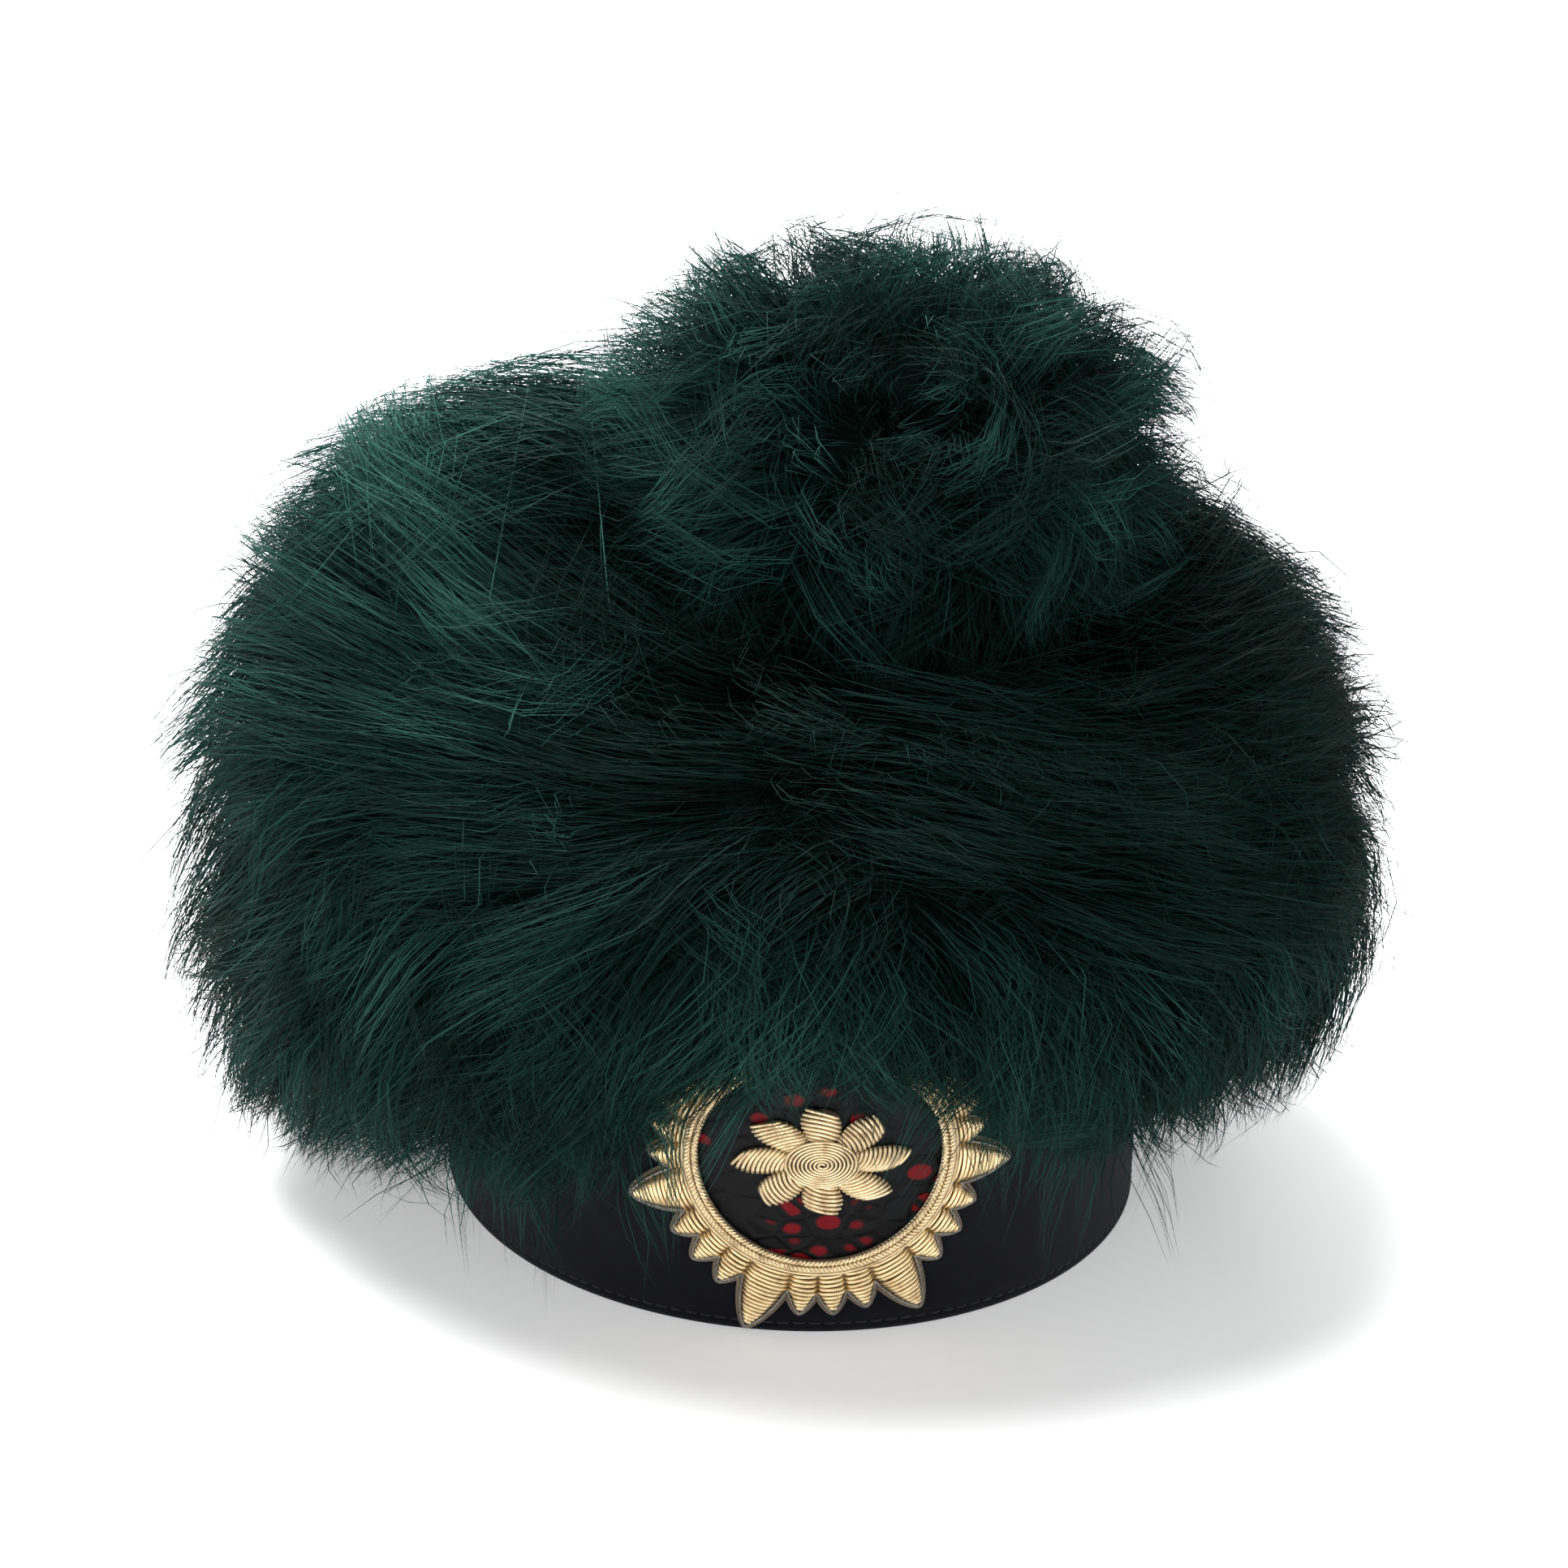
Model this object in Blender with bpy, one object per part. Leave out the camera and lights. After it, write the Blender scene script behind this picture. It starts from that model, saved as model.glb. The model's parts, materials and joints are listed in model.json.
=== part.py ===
"""Fur hat with a pompom: a cloth headband, a long-haired crown and an embroidered crest.

Metres, +Z up. The hat stands on its rim at z = 0, its front faces -Y, and the origin lies
under the middle of the crown.
"""

import random
from collections import namedtuple
from math import atan2, cos, degrees, hypot, pi, radians, sin

import bmesh
import bpy
from mathutils import Vector

for old_object in list(bpy.data.objects):
    bpy.data.objects.remove(old_object, do_unlink=True)

# Driving sizes of the headband and of the pelt that the crown is made from
HEAD_HALF_WIDTH = 0.086
HEAD_HALF_DEPTH = 0.095
CLOTH = 0.0025
BAND_HEIGHT = 0.102
SKIN = 0.0020
CROWN_RISE = 0.032
CROWN_SWELL = 0.012
SEAT_RADIUS = 0.014
GAP = 0.0003

# Driving sizes of the fur: how far the hair stands out from the band and from the pelt
FUR_SIDE = 0.0655
FUR_FRONT = 0.0425
FUR_ABOVE = 0.058
FUR_LEAN = 0.13
BROW_DROP = 0.040
BROW_WRAP = 0.20
HAIR_CLEARANCE = 0.0010
CREST_MARGIN = 1.15
CREST_FADE = 0.70
INNER_HEM = 0.25
LOCK_STAND = 0.011
LOCK_WIDTH = 0.021
LOCK_DEPTH = 0.009
LOCK_SINK = 0.0035
LOCK_CURVE = 1.25
LOCK_SWING = 0.22
LOCK_SCATTER = 0.16
LOCK_VARIATION = 0.12

# Driving sizes of the pompom
POMPOM_HALF_WIDTH = 0.070
POMPOM_HALF_HEIGHT = 0.055
POMPOM_LIFT = 0.057
POMPOM_SHIFT = 0.021
POMPOM_CORE = 0.052
NECK_RADIUS = 0.012
NECK_HEIGHT = 0.006
TUFT_WIDTH = 0.029
TUFT_DEPTH = 0.022
TUFT_ROOT = 0.55
TUFT_SCATTER = 0.12
POMPOM_CLEARANCE = 0.003

# Driving sizes of the crest, measured on the flat patch
CREST_ABOVE_RIM = 0.0025
GROUND_HALF_WIDTH = 0.0280
GROUND_HALF_HEIGHT = 0.0255
ROPE_WIDTH = 0.0046
ROPE_DEPTH = 0.0024
LEAF_VALLEY = 0.0355
LEAF_SHORT = 0.0410
LEAF_LONG = 0.0480
LEAF_START = 353.0
LONG_LEAVES = 7
SHORT_BETWEEN = 3
LONG_LEAF_SHARE = 1.6
FELT_SEAT = 0.0005
FELT = 0.0010
FELT_EDGE = 0.0009
GROUND_PAD = 0.0021
LEAF_PAD = 0.0018
LEAF_SUMMIT = 0.55
LEAF_HEEL = 0.70
LEAF_FULLNESS = 1.2
ROSETTE_HALF_WIDTH = 0.0200
ROSETTE_HALF_HEIGHT = 0.0145
ROSETTE_PETALS = 8
ROSETTE_WAIST = 0.50
ROSETTE_FULLNESS = 0.60
ROSETTE_DEPTH = 0.0016
ROSETTE_BOSS = 0.0010
ROSETTE_BOSS_FOOT = 0.45
ROSETTE_BOSS_TOP = 0.25

ROUND = 36
POMPOM_ROUND = 16
LEAF_STEPS = 4
ROPE_STEPS = 30
GROUND_STEPS = 28
PETAL_STEPS = 4
WRAP_STEPS = 24
SLOPE_STEP = 0.02
SEED = 8

# The pelt, from the band's top edge to the seat of the pompom. Rise is a share of
# CROWN_RISE, swell of CROWN_SWELL, reach of the band and lean of POMPOM_SHIFT.
PeltRow = namedtuple("PeltRow", "rise reach swell lean")
PELT = [
    PeltRow(0.00, 1.00, 0.00, 0.00),
    PeltRow(0.07, 1.00, 0.18, 0.00),
    PeltRow(0.22, 1.00, 0.90, 0.02),
    PeltRow(0.42, 0.99, 1.00, 0.08),
    PeltRow(0.62, 0.90, 0.94, 0.20),
    PeltRow(0.80, 0.70, 0.80, 0.42),
    PeltRow(0.94, 0.40, 0.45, 0.75),
]

# Lower edge of the fur: turn in degrees from the front, and its height down the left and
# the right side as a share of the band's.
HemRow = namedtuple("HemRow", "turn left right")
HEM = [
    HemRow(0, 0.78, 0.78),
    HemRow(13, 0.74, 0.76),
    HemRow(26, 0.60, 0.66),
    HemRow(40, 0.55, 0.59),
    HemRow(60, 0.48, 0.58),
    HemRow(90, 0.33, 0.55),
    HemRow(135, 0.34, 0.46),
    HemRow(180, 0.38, 0.38),
]

# The body of the fur under its loose tips, from the fringe to the rim round the pompom.
# Rise is a share of the height from hem to top, nest how far the section has closed to
# the pompom's hollow, the others shares of the fur's reach.
FurRow = namedtuple("FurRow", "along rise left right front back nest")
FUR = [
    FurRow(-0.14, -0.130, 0.86, 0.78, 0.76, 0.86, 0.00),
    FurRow(0.00, 0.000, 0.94, 0.86, 0.88, 0.93, 0.00),
    FurRow(0.14, 0.130, 0.99, 0.95, 0.95, 0.98, 0.00),
    FurRow(0.28, 0.280, 1.00, 1.00, 0.99, 1.00, 0.00),
    FurRow(0.42, 0.430, 1.00, 0.99, 1.00, 1.00, 0.00),
    FurRow(0.56, 0.565, 0.98, 0.96, 0.97, 0.97, 0.00),
    FurRow(0.69, 0.685, 0.93, 0.89, 0.90, 0.91, 0.00),
    FurRow(0.81, 0.790, 0.84, 0.80, 0.80, 0.82, 0.02),
    FurRow(0.91, 0.890, 0.80, 0.73, 0.74, 0.77, 0.40),
    FurRow(1.00, 0.975, 0.74, 0.70, 0.70, 0.73, 1.00),
]

# The hollow that the pompom nests in. Height is a share of the way from the neck hole up
# to the rim, reach of the pompom's half-width.
HollowRow = namedtuple("HollowRow", "height reach")
HOLLOW = [
    HollowRow(0.42, 0.98),
    HollowRow(0.12, 0.82),
    HollowRow(0.03, 0.50),
]

# Locks of the crown: where they spring and end along the fur, how many go round, their
# size beside the named lock, and how far their tips stand out.
LockRow = namedtuple("LockRow", "root tip count size stand")
LOCKS = [
    LockRow(0.92, 0.70, 11, 0.85, 0.80),
    LockRow(0.83, 0.55, 14, 1.00, 1.00),
    LockRow(0.68, 0.36, 16, 1.10, 1.00),
    LockRow(0.50, 0.17, 16, 1.10, 1.00),
    LockRow(0.33, -0.02, 16, 1.10, 1.00),
    LockRow(0.18, -0.14, 16, 0.95, 0.80),
]

# Half-width of a lock along its length, as a share of its widest part.
TaperRow = namedtuple("TaperRow", "along spread")
TAPER = [
    TaperRow(0.00, 0.70),
    TaperRow(0.34, 1.00),
    TaperRow(0.68, 0.66),
]

# Tufts of the pompom: elevation in degrees, number, length and droop as shares of the
# pompom's half-height.
TuftRow = namedtuple("TuftRow", "elevation count length droop")
TUFTS = [
    TuftRow(90, 1, 1.00, 0.00),
    TuftRow(64, 6, 1.00, 0.03),
    TuftRow(38, 9, 1.00, 0.06),
    TuftRow(14, 10, 1.00, 0.09),
    TuftRow(-8, 10, 0.97, 0.10),
    TuftRow(-30, 8, 0.94, 0.06),
    TuftRow(-52, 6, 0.92, 0.00),
]

# The turned core of the pompom from neck to top, as shares of its radius and height.
CoreRow = namedtuple("CoreRow", "rise reach")
CORE = [
    CoreRow(0.07, 0.55),
    CoreRow(0.20, 0.84),
    CoreRow(0.38, 0.98),
    CoreRow(0.60, 0.97),
    CoreRow(0.80, 0.78),
    CoreRow(0.94, 0.42),
]
CORE_TOP = 0.80

# Section of the double cord, as shares of its width and depth.
RopeRow = namedtuple("RopeRow", "across height")
ROPE = [
    RopeRow(0.00, 0.00),
    RopeRow(0.06, 0.70),
    RopeRow(0.25, 1.00),
    RopeRow(0.50, 0.62),
    RopeRow(0.75, 1.00),
    RopeRow(0.94, 0.70),
    RopeRow(1.00, 0.00),
]

# Sizes that follow from the ones above
BAND_HALF_WIDTH = HEAD_HALF_WIDTH + CLOTH
BAND_HALF_DEPTH = HEAD_HALF_DEPTH + CLOTH
SEAM = BAND_HEIGHT + GAP
SEAT = SEAM + CROWN_RISE
FUR_HALF_WIDTH = BAND_HALF_WIDTH + FUR_SIDE
FUR_HALF_DEPTH = BAND_HALF_DEPTH + FUR_FRONT
FUR_TOP = SEAT + FUR_ABOVE
NECK_HOLE = NECK_RADIUS + HAIR_CLEARANCE
NECK_HOLE_TOP = SEAT + NECK_HEIGHT / 2
HOLLOW_RADIUS = POMPOM_HALF_WIDTH + POMPOM_CLEARANCE
POMPOM_CENTRE = Vector((POMPOM_SHIFT, 0.0, SEAT + POMPOM_LIFT))
PATCH_BACK = FELT_SEAT + FELT + GAP
GROUND_FACE = FELT_SEAT + GROUND_PAD
TRIM_BACK = GROUND_FACE + GAP
CREST_DEPTH = TRIM_BACK + max(ROPE_DEPTH, ROSETTE_DEPTH + ROSETTE_BOSS)
LEAVES_INSIDE = (GROUND_HALF_WIDTH + ROPE_WIDTH + GAP, GROUND_HALF_HEIGHT + ROPE_WIDTH + GAP)

TURNS = [2 * pi * step / ROUND for step in range(ROUND)]


def smooth_step(value):
    value = min(max(value, 0.0), 1.0)
    return value * value * (3 - 2 * value)


def table_value(rows, key, at, column):
    """Smooth curve through one column of a table, read at a place along another."""
    places = [getattr(row, key) for row in rows]
    values = [getattr(row, column) for row in rows]
    last = len(rows) - 1
    slopes = []
    for step in range(last + 1):
        before = max(step - 1, 0)
        after = min(step + 1, last)
        slopes.append((values[after] - values[before]) / (places[after] - places[before]))
    step = 0
    while step < last - 1 and at > places[step + 1]:
        step += 1
    span = places[step + 1] - places[step]
    t = (at - places[step]) / span
    if t < 0:
        return values[0] + slopes[0] * (at - places[0])
    return ((2 * t**3 - 3 * t**2 + 1) * values[step]
            + (t**3 - 2 * t**2 + t) * span * slopes[step]
            + (3 * t**2 - 2 * t**3) * values[step + 1]
            + (t**3 - t**2) * span * slopes[step + 1])


def oval(half_width, half_depth, turn):
    """Radius of an ellipse in the direction turn, which is 0 at the front and runs to +X."""
    return 1 / hypot(sin(turn) / half_width, cos(turn) / half_depth)


def at_turn(radius, turn, height, shift=0.0):
    return Vector((radius * sin(turn) + shift, -radius * cos(turn), height))


def oval_point(half_width, half_depth, turn, height, shift=0.0):
    return at_turn(oval(half_width, half_depth, turn), turn, height, shift)


def make_material(name, color, roughness, metallic=0.0, sheen=0.0):
    material = bpy.data.materials.new(name)
    material.use_nodes = True
    shader = material.node_tree.nodes["Principled BSDF"]
    shader.inputs["Base Color"].default_value = (*color, 1.0)
    shader.inputs["Roughness"].default_value = roughness
    shader.inputs["Metallic"].default_value = metallic
    shader.inputs["Sheen Weight"].default_value = sheen
    material.diffuse_color = (*color, 1.0)
    return material


def make_object(name, bm, collection, material=None, sharp_angle=40):
    """Close a bmesh into an object with outward faces."""
    bmesh.ops.recalc_face_normals(bm, faces=bm.faces)
    mesh = bpy.data.meshes.new(name)
    bm.to_mesh(mesh)
    bm.free()
    mesh.shade_smooth()
    mesh.set_sharp_from_angle(angle=radians(sharp_angle))
    if material:
        mesh.materials.append(material)
    thing = bpy.data.objects.new(name, mesh)
    collection.objects.link(thing)
    return thing


def hide_helper(thing):
    thing.hide_render = True
    thing.display_type = "WIRE"


def loft(bm, rings, join_ends=False, cap_ends=False):
    """Skin rings of equal length, as a tube, a capped tube or a closed loop of sections."""
    loops = [[bm.verts.new(point) for point in ring] for ring in rings]
    pairs = list(zip(loops, loops[1:]))
    if join_ends:
        pairs.append((loops[-1], loops[0]))
    for lower, upper in pairs:
        count = len(lower)
        for step in range(count):
            after = (step + 1) % count
            bm.faces.new((lower[step], lower[after], upper[after], upper[step]))
    if cap_ends:
        bm.faces.new(loops[0])
        bm.faces.new(loops[-1])
    return loops


def close_to_point(bm, loop, point):
    tip = bm.verts.new(point)
    for step, vert in enumerate(loop):
        bm.faces.new((vert, loop[(step + 1) % len(loop)], tip))


def add_lock(bm, path, sides, outs, width, depth):
    """One tapered four-sided lock: its last path point is the tip."""
    rings = []
    for row, point, side, out in zip(TAPER, path, sides, outs):
        across = side * width / 2 * row.spread
        away = out * depth / 2 * row.spread
        rings.append([point + across, point + away, point - across, point - away])
    loops = loft(bm, rings)
    bm.faces.new(loops[0])
    close_to_point(bm, loops[-1], path[-1])


# Headband

def build_headband(collection, material):
    """Upright cloth wall with a flat rim, open at both ends."""
    bm = bmesh.new()
    rings = [
        [oval_point(HEAD_HALF_WIDTH, HEAD_HALF_DEPTH, turn, 0.0) for turn in TURNS],
        [oval_point(BAND_HALF_WIDTH, BAND_HALF_DEPTH, turn, 0.0) for turn in TURNS],
        [oval_point(BAND_HALF_WIDTH, BAND_HALF_DEPTH, turn, BAND_HEIGHT) for turn in TURNS],
        [oval_point(HEAD_HALF_WIDTH, HEAD_HALF_DEPTH, turn, BAND_HEIGHT) for turn in TURNS],
    ]
    loft(bm, rings, join_ends=True)
    return make_object("headband", bm, collection, material)


# Crown

def pelt_ring(number, stand=0.0):
    """Section of the pelt's outer side, or one standing out square to it."""
    row = PELT[number]
    below = PELT[max(number - 1, 0)]
    above = PELT[min(number + 1, len(PELT) - 1)]
    run = pelt_reach(above, BAND_HALF_WIDTH) - pelt_reach(below, BAND_HALF_WIDTH)
    climb = (above.rise - below.rise) * CROWN_RISE
    length = hypot(run, climb)
    out = stand * climb / length
    up = -stand * run / length if number else 0.0
    return [
        oval_point(pelt_reach(row, BAND_HALF_WIDTH) + out, pelt_reach(row, BAND_HALF_DEPTH) + out,
                   turn, SEAM + CROWN_RISE * row.rise + up, POMPOM_SHIFT * row.lean)
        for turn in TURNS
    ]


def pelt_reach(row, half_size):
    return half_size * row.reach + CROWN_SWELL * row.swell


def seat_ring(radius, height):
    return [at_turn(radius, turn, height, POMPOM_SHIFT) for turn in TURNS]


def build_crown_skin(collection, material):
    """Hollow dome of pelt, leaning to the pompom, with a flat seat at its top."""
    bm = bmesh.new()
    outer = [pelt_ring(number) for number in range(len(PELT))]
    outer.append(seat_ring(SEAT_RADIUS, SEAT))
    inner = [pelt_ring(number, -SKIN) for number in range(len(PELT))]
    inner.append(seat_ring(SEAT_RADIUS - SKIN / 2, SEAT - SKIN))
    outer_loops = loft(bm, outer)
    inner_loops = loft(bm, inner)
    for step in range(ROUND):
        after = (step + 1) % ROUND
        bm.faces.new((outer_loops[0][step], outer_loops[0][after],
                      inner_loops[0][after], inner_loops[0][step]))
    bm.faces.new(outer_loops[-1])
    bm.faces.new(inner_loops[-1])
    return make_object("crown_skin", bm, collection, material)


# Fur

def turn_from_front(turn):
    return abs(atan2(sin(turn), cos(turn)))


def hem_height(turn):
    """Height of the fur's lower edge: raised in front, over the crest."""
    side = "right" if sin(turn) > 0 else "left"
    return BAND_HEIGHT * table_value(HEM, "turn", degrees(turn_from_front(turn)), side)


def hollow_reach(turn):
    """Distance from the hat's axis to the rim of the pompom's hollow."""
    return POMPOM_SHIFT * sin(turn) + (HOLLOW_RADIUS**2 - (POMPOM_SHIFT * cos(turn))**2)**0.5


def fur_profile(along, turn):
    """Radius and height of the fur's body at a place along it."""
    side = "right" if sin(turn) > 0 else "left"
    end = "front" if cos(turn) > 0 else "back"
    across = table_value(FUR, "along", along, side) * (FUR_HALF_WIDTH - LOCK_STAND)
    lengthwise = table_value(FUR, "along", along, end) * (FUR_HALF_DEPTH - LOCK_STAND)
    nest = table_value(FUR, "along", along, "nest")
    radius = (1 - nest) * oval(across, lengthwise, turn) + nest * hollow_reach(turn)
    rise = table_value(FUR, "along", along, "rise")
    brow = BROW_DROP * smooth_step((cos(turn) + BROW_WRAP) / (1 + BROW_WRAP))
    hem = hem_height(turn)
    lean = FUR_LEAN * radius * sin(turn) * max(rise, 0.0)
    return radius, hem + rise * (FUR_TOP - brow - hem) - lean


def fur_point(along, turn, stand=0.0):
    """Point on the fur's body, or standing out from it square to its surface."""
    radius, height = fur_profile(along, turn)
    radius_before, height_before = fur_profile(along - SLOPE_STEP, turn)
    radius_after, height_after = fur_profile(along + SLOPE_STEP, turn)
    run = radius_after - radius_before
    climb = height_after - height_before
    length = hypot(run, climb)
    return at_turn(radius + stand * climb / length, turn, height - stand * run / length)


def band_clearance(turn):
    """Space that the fur leaves round the band, with room for the crest in front."""
    beside_crest = LEAF_LONG / BAND_HALF_DEPTH
    away = turn_from_front(turn) - CREST_MARGIN * beside_crest
    return HAIR_CLEARANCE + CREST_DEPTH * (1 - smooth_step(away / (CREST_FADE * beside_crest)))


def band_side_ring(height_of):
    return [
        at_turn(oval(BAND_HALF_WIDTH, BAND_HALF_DEPTH, turn) + band_clearance(turn), turn,
                height_of(turn))
        for turn in TURNS
    ]


def fur_body_rings():
    """Sections round the whole wall: up its outside, down its hollow and its inside."""
    outside = [[fur_point(row.along, turn) for turn in TURNS] for row in FUR[1:]]
    bowl = []
    for row in HOLLOW:
        ring = seat_ring(row.reach * HOLLOW_RADIUS, NECK_HOLE_TOP)
        for point, rim in zip(ring, outside[-1]):
            point.z += row.height * (rim.z - NECK_HOLE_TOP)
        bowl.append(ring)
    bowl.append(seat_ring(NECK_HOLE, NECK_HOLE_TOP))
    bowl.append(seat_ring(NECK_HOLE, SEAT + GAP))
    inside = [pelt_ring(number, GAP) for number in range(len(PELT) - 1, 0, -1)]
    inside.append(band_side_ring(lambda turn: SEAM - CREST_DEPTH / 2))
    inside.append(band_side_ring(
        lambda turn: hem_height(turn) + INNER_HEM * (SEAM - hem_height(turn))))
    return outside + bowl + inside


def fur_lock(bm, row, turn, swing, chance):
    stand = LOCK_STAND * (row.stand - LOCK_VARIATION * chance.random())
    size = row.size * (1 - LOCK_VARIATION * chance.random())
    length = 1 - LOCK_VARIATION * chance.random()
    path, sides, outs = [], [], []
    for place in [taper.along for taper in TAPER] + [1.0]:
        along = row.root + (row.tip - row.root) * length * place
        lift = -LOCK_SINK + (stand + LOCK_SINK) * place**LOCK_CURVE
        here = turn + swing * place
        point = fur_point(along, here, lift)
        out = (fur_point(along, here, lift + LOCK_STAND) - point).normalized()
        ahead = fur_point(along - SLOPE_STEP, here + SLOPE_STEP * swing, lift) - point
        path.append(point)
        outs.append(out)
        sides.append(ahead.cross(out).normalized())
    add_lock(bm, path, sides, outs, LOCK_WIDTH * size, LOCK_DEPTH * size)


def build_fur_locks(collection):
    chance = random.Random(SEED)
    bm = bmesh.new()
    for number, row in enumerate(LOCKS):
        spacing = 2 * pi / row.count
        for step in range(row.count):
            scatter = chance.uniform(-LOCK_SCATTER, LOCK_SCATTER)
            turn = spacing * (step + 0.5 * (number % 2) + scatter)
            swing = spacing * chance.uniform(-LOCK_SWING, LOCK_SWING)
            fur_lock(bm, row, turn, swing, chance)
    locks = make_object("fur_locks", bm, collection)
    hide_helper(locks)
    return locks


def build_fur_coat(collection, helpers, material):
    """Thick wall of fur with its locks fused to it."""
    bm = bmesh.new()
    loft(bm, fur_body_rings(), join_ends=True)
    coat = make_object("fur_coat", bm, collection, material)
    join = coat.modifiers.new("locks", "BOOLEAN")
    join.operation = "UNION"
    join.solver = "EXACT"
    join.use_self = True
    join.object = build_fur_locks(helpers)
    return coat


# Pompom

def pompom_tuft(bm, row, turn):
    rise = radians(row.elevation)
    heading = at_turn(POMPOM_HALF_WIDTH * cos(rise), turn, POMPOM_HALF_HEIGHT * sin(rise))
    out = at_turn(-sin(rise), turn, cos(rise))
    side = heading.cross(out).normalized()
    path = []
    for place in [taper.along for taper in TAPER] + [1.0]:
        share = TUFT_ROOT + (row.length - TUFT_ROOT) * place
        droop = row.droop * POMPOM_HALF_HEIGHT * place**2
        path.append(POMPOM_CENTRE + heading * share - Vector((0, 0, droop)))
    add_lock(bm, path, [side] * len(path), [out] * len(path), TUFT_WIDTH, TUFT_DEPTH)


def build_tufts(collection):
    chance = random.Random(SEED + 1)
    bm = bmesh.new()
    for number, row in enumerate(TUFTS):
        spacing = 2 * pi / row.count
        for step in range(row.count):
            scatter = chance.uniform(-TUFT_SCATTER, TUFT_SCATTER)
            pompom_tuft(bm, row, spacing * (step + 0.5 * (number % 2) + scatter))
    tufts = make_object("pompom_tufts", bm, collection)
    hide_helper(tufts)
    return tufts


def build_pompom(collection, helpers, material):
    """Turned core on a short neck, with tufts fused to it."""
    turns = [2 * pi * step / POMPOM_ROUND for step in range(POMPOM_ROUND)]
    neck_top = SEAT + NECK_HEIGHT
    core_top = POMPOM_CENTRE.z + CORE_TOP * POMPOM_HALF_HEIGHT
    core_height = core_top - neck_top
    profile = [(NECK_RADIUS, SEAT + GAP), (NECK_RADIUS, neck_top)]
    profile += [(POMPOM_CORE * row.reach, neck_top + core_height * row.rise) for row in CORE]
    rings = [[at_turn(radius, turn, height, POMPOM_SHIFT) for turn in turns]
             for radius, height in profile]
    bm = bmesh.new()
    loops = loft(bm, rings)
    bm.faces.new(loops[0])
    close_to_point(bm, loops[-1], Vector((POMPOM_SHIFT, 0, core_top)))
    ball = make_object("pompom", bm, collection, material)
    join = ball.modifiers.new("tufts", "BOOLEAN")
    join.operation = "UNION"
    join.solver = "EXACT"
    join.use_self = True
    join.object = build_tufts(helpers)
    return ball


# Crest, laid out flat as across, up and out, then wrapped round the front of the band

def leaf_centres():
    """Direction, half-angle and tip reach of each leaf, counter-clockwise from the right."""
    short_angle = 2 * pi / (LONG_LEAVES * (LONG_LEAF_SHARE + SHORT_BETWEEN))
    leaves = []
    direction = radians(LEAF_START) - LONG_LEAF_SHARE * short_angle / 2
    for group in range(LONG_LEAVES):
        for place in range(SHORT_BETWEEN + 1):
            angle = short_angle if place else LONG_LEAF_SHARE * short_angle
            reach = LEAF_SHORT if place else LEAF_LONG
            leaves.append((direction + angle / 2, angle / 2, reach))
            direction += angle
    return leaves


LEAVES = leaf_centres()
CREST_HEIGHT = CREST_ABOVE_RIM - min(reach * sin(middle) for middle, half, reach in LEAVES)


def wrap(across, up, out):
    """Point of the flat crest, bent round the outside of the band."""
    turn = 0.0
    for step in range(WRAP_STEPS):
        speed = hypot(BAND_HALF_WIDTH * cos(turn), BAND_HALF_DEPTH * sin(turn))
        turn += across / WRAP_STEPS / speed
    normal = Vector((sin(turn) / BAND_HALF_WIDTH, -cos(turn) / BAND_HALF_DEPTH, 0)).normalized()
    on_band = Vector((BAND_HALF_WIDTH * sin(turn), -BAND_HALF_DEPTH * cos(turn), 0))
    return on_band + normal * out + Vector((0, 0, CREST_HEIGHT + up))


def oval_outline(half_width, half_height, steps):
    return [
        (half_width * cos(2 * pi * step / steps), half_height * sin(2 * pi * step / steps))
        for step in range(steps)
    ]


def leaf_outline(growth=0.0, only_inner=None):
    """Star outline of the leaves, or the oval inside it with a point for each of its own."""
    outline = []
    for middle, half, reach in LEAVES:
        for step in range(LEAF_STEPS):
            aside = 2 * step / LEAF_STEPS - 1
            angle = middle + aside * half
            bulge = 1 - abs(aside)**LEAF_FULLNESS
            radius = LEAF_VALLEY + (reach - LEAF_VALLEY) * bulge + growth
            if only_inner:
                radius = oval(only_inner[0], only_inner[1], pi / 2 - angle)
            outline.append((radius * cos(angle), radius * sin(angle)))
    return outline


def lay(outline, out, scale=1.0):
    return [wrap(across * scale, up * scale, out) for across, up in outline]


def build_crest_backing(collection, material):
    """Felt ring under the leaves, showing as a narrow edge round each."""
    inner = leaf_outline(only_inner=LEAVES_INSIDE)
    outer = leaf_outline(FELT_EDGE)
    bm = bmesh.new()
    rings = [lay(inner, FELT_SEAT), lay(outer, FELT_SEAT),
             lay(outer, FELT_SEAT + FELT), lay(inner, FELT_SEAT + FELT)]
    loft(bm, rings, join_ends=True)
    return make_object("crest_backing", bm, collection, material)


def build_crest_leaves(collection, material):
    """Ring of padded leaves, long ones among short ones, thin at their edges."""
    inner = leaf_outline(only_inner=LEAVES_INSIDE)
    outer = leaf_outline()
    summit = [
        Vector(start).lerp(Vector(end), LEAF_SUMMIT) for start, end in zip(inner, outer)
    ]
    bm = bmesh.new()
    rings = [lay(inner, PATCH_BACK), lay(outer, PATCH_BACK),
             lay(summit, PATCH_BACK + LEAF_PAD), lay(inner, PATCH_BACK + LEAF_HEEL * LEAF_PAD)]
    loft(bm, rings, join_ends=True)
    return make_object("crest_leaves", bm, collection, material)


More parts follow.
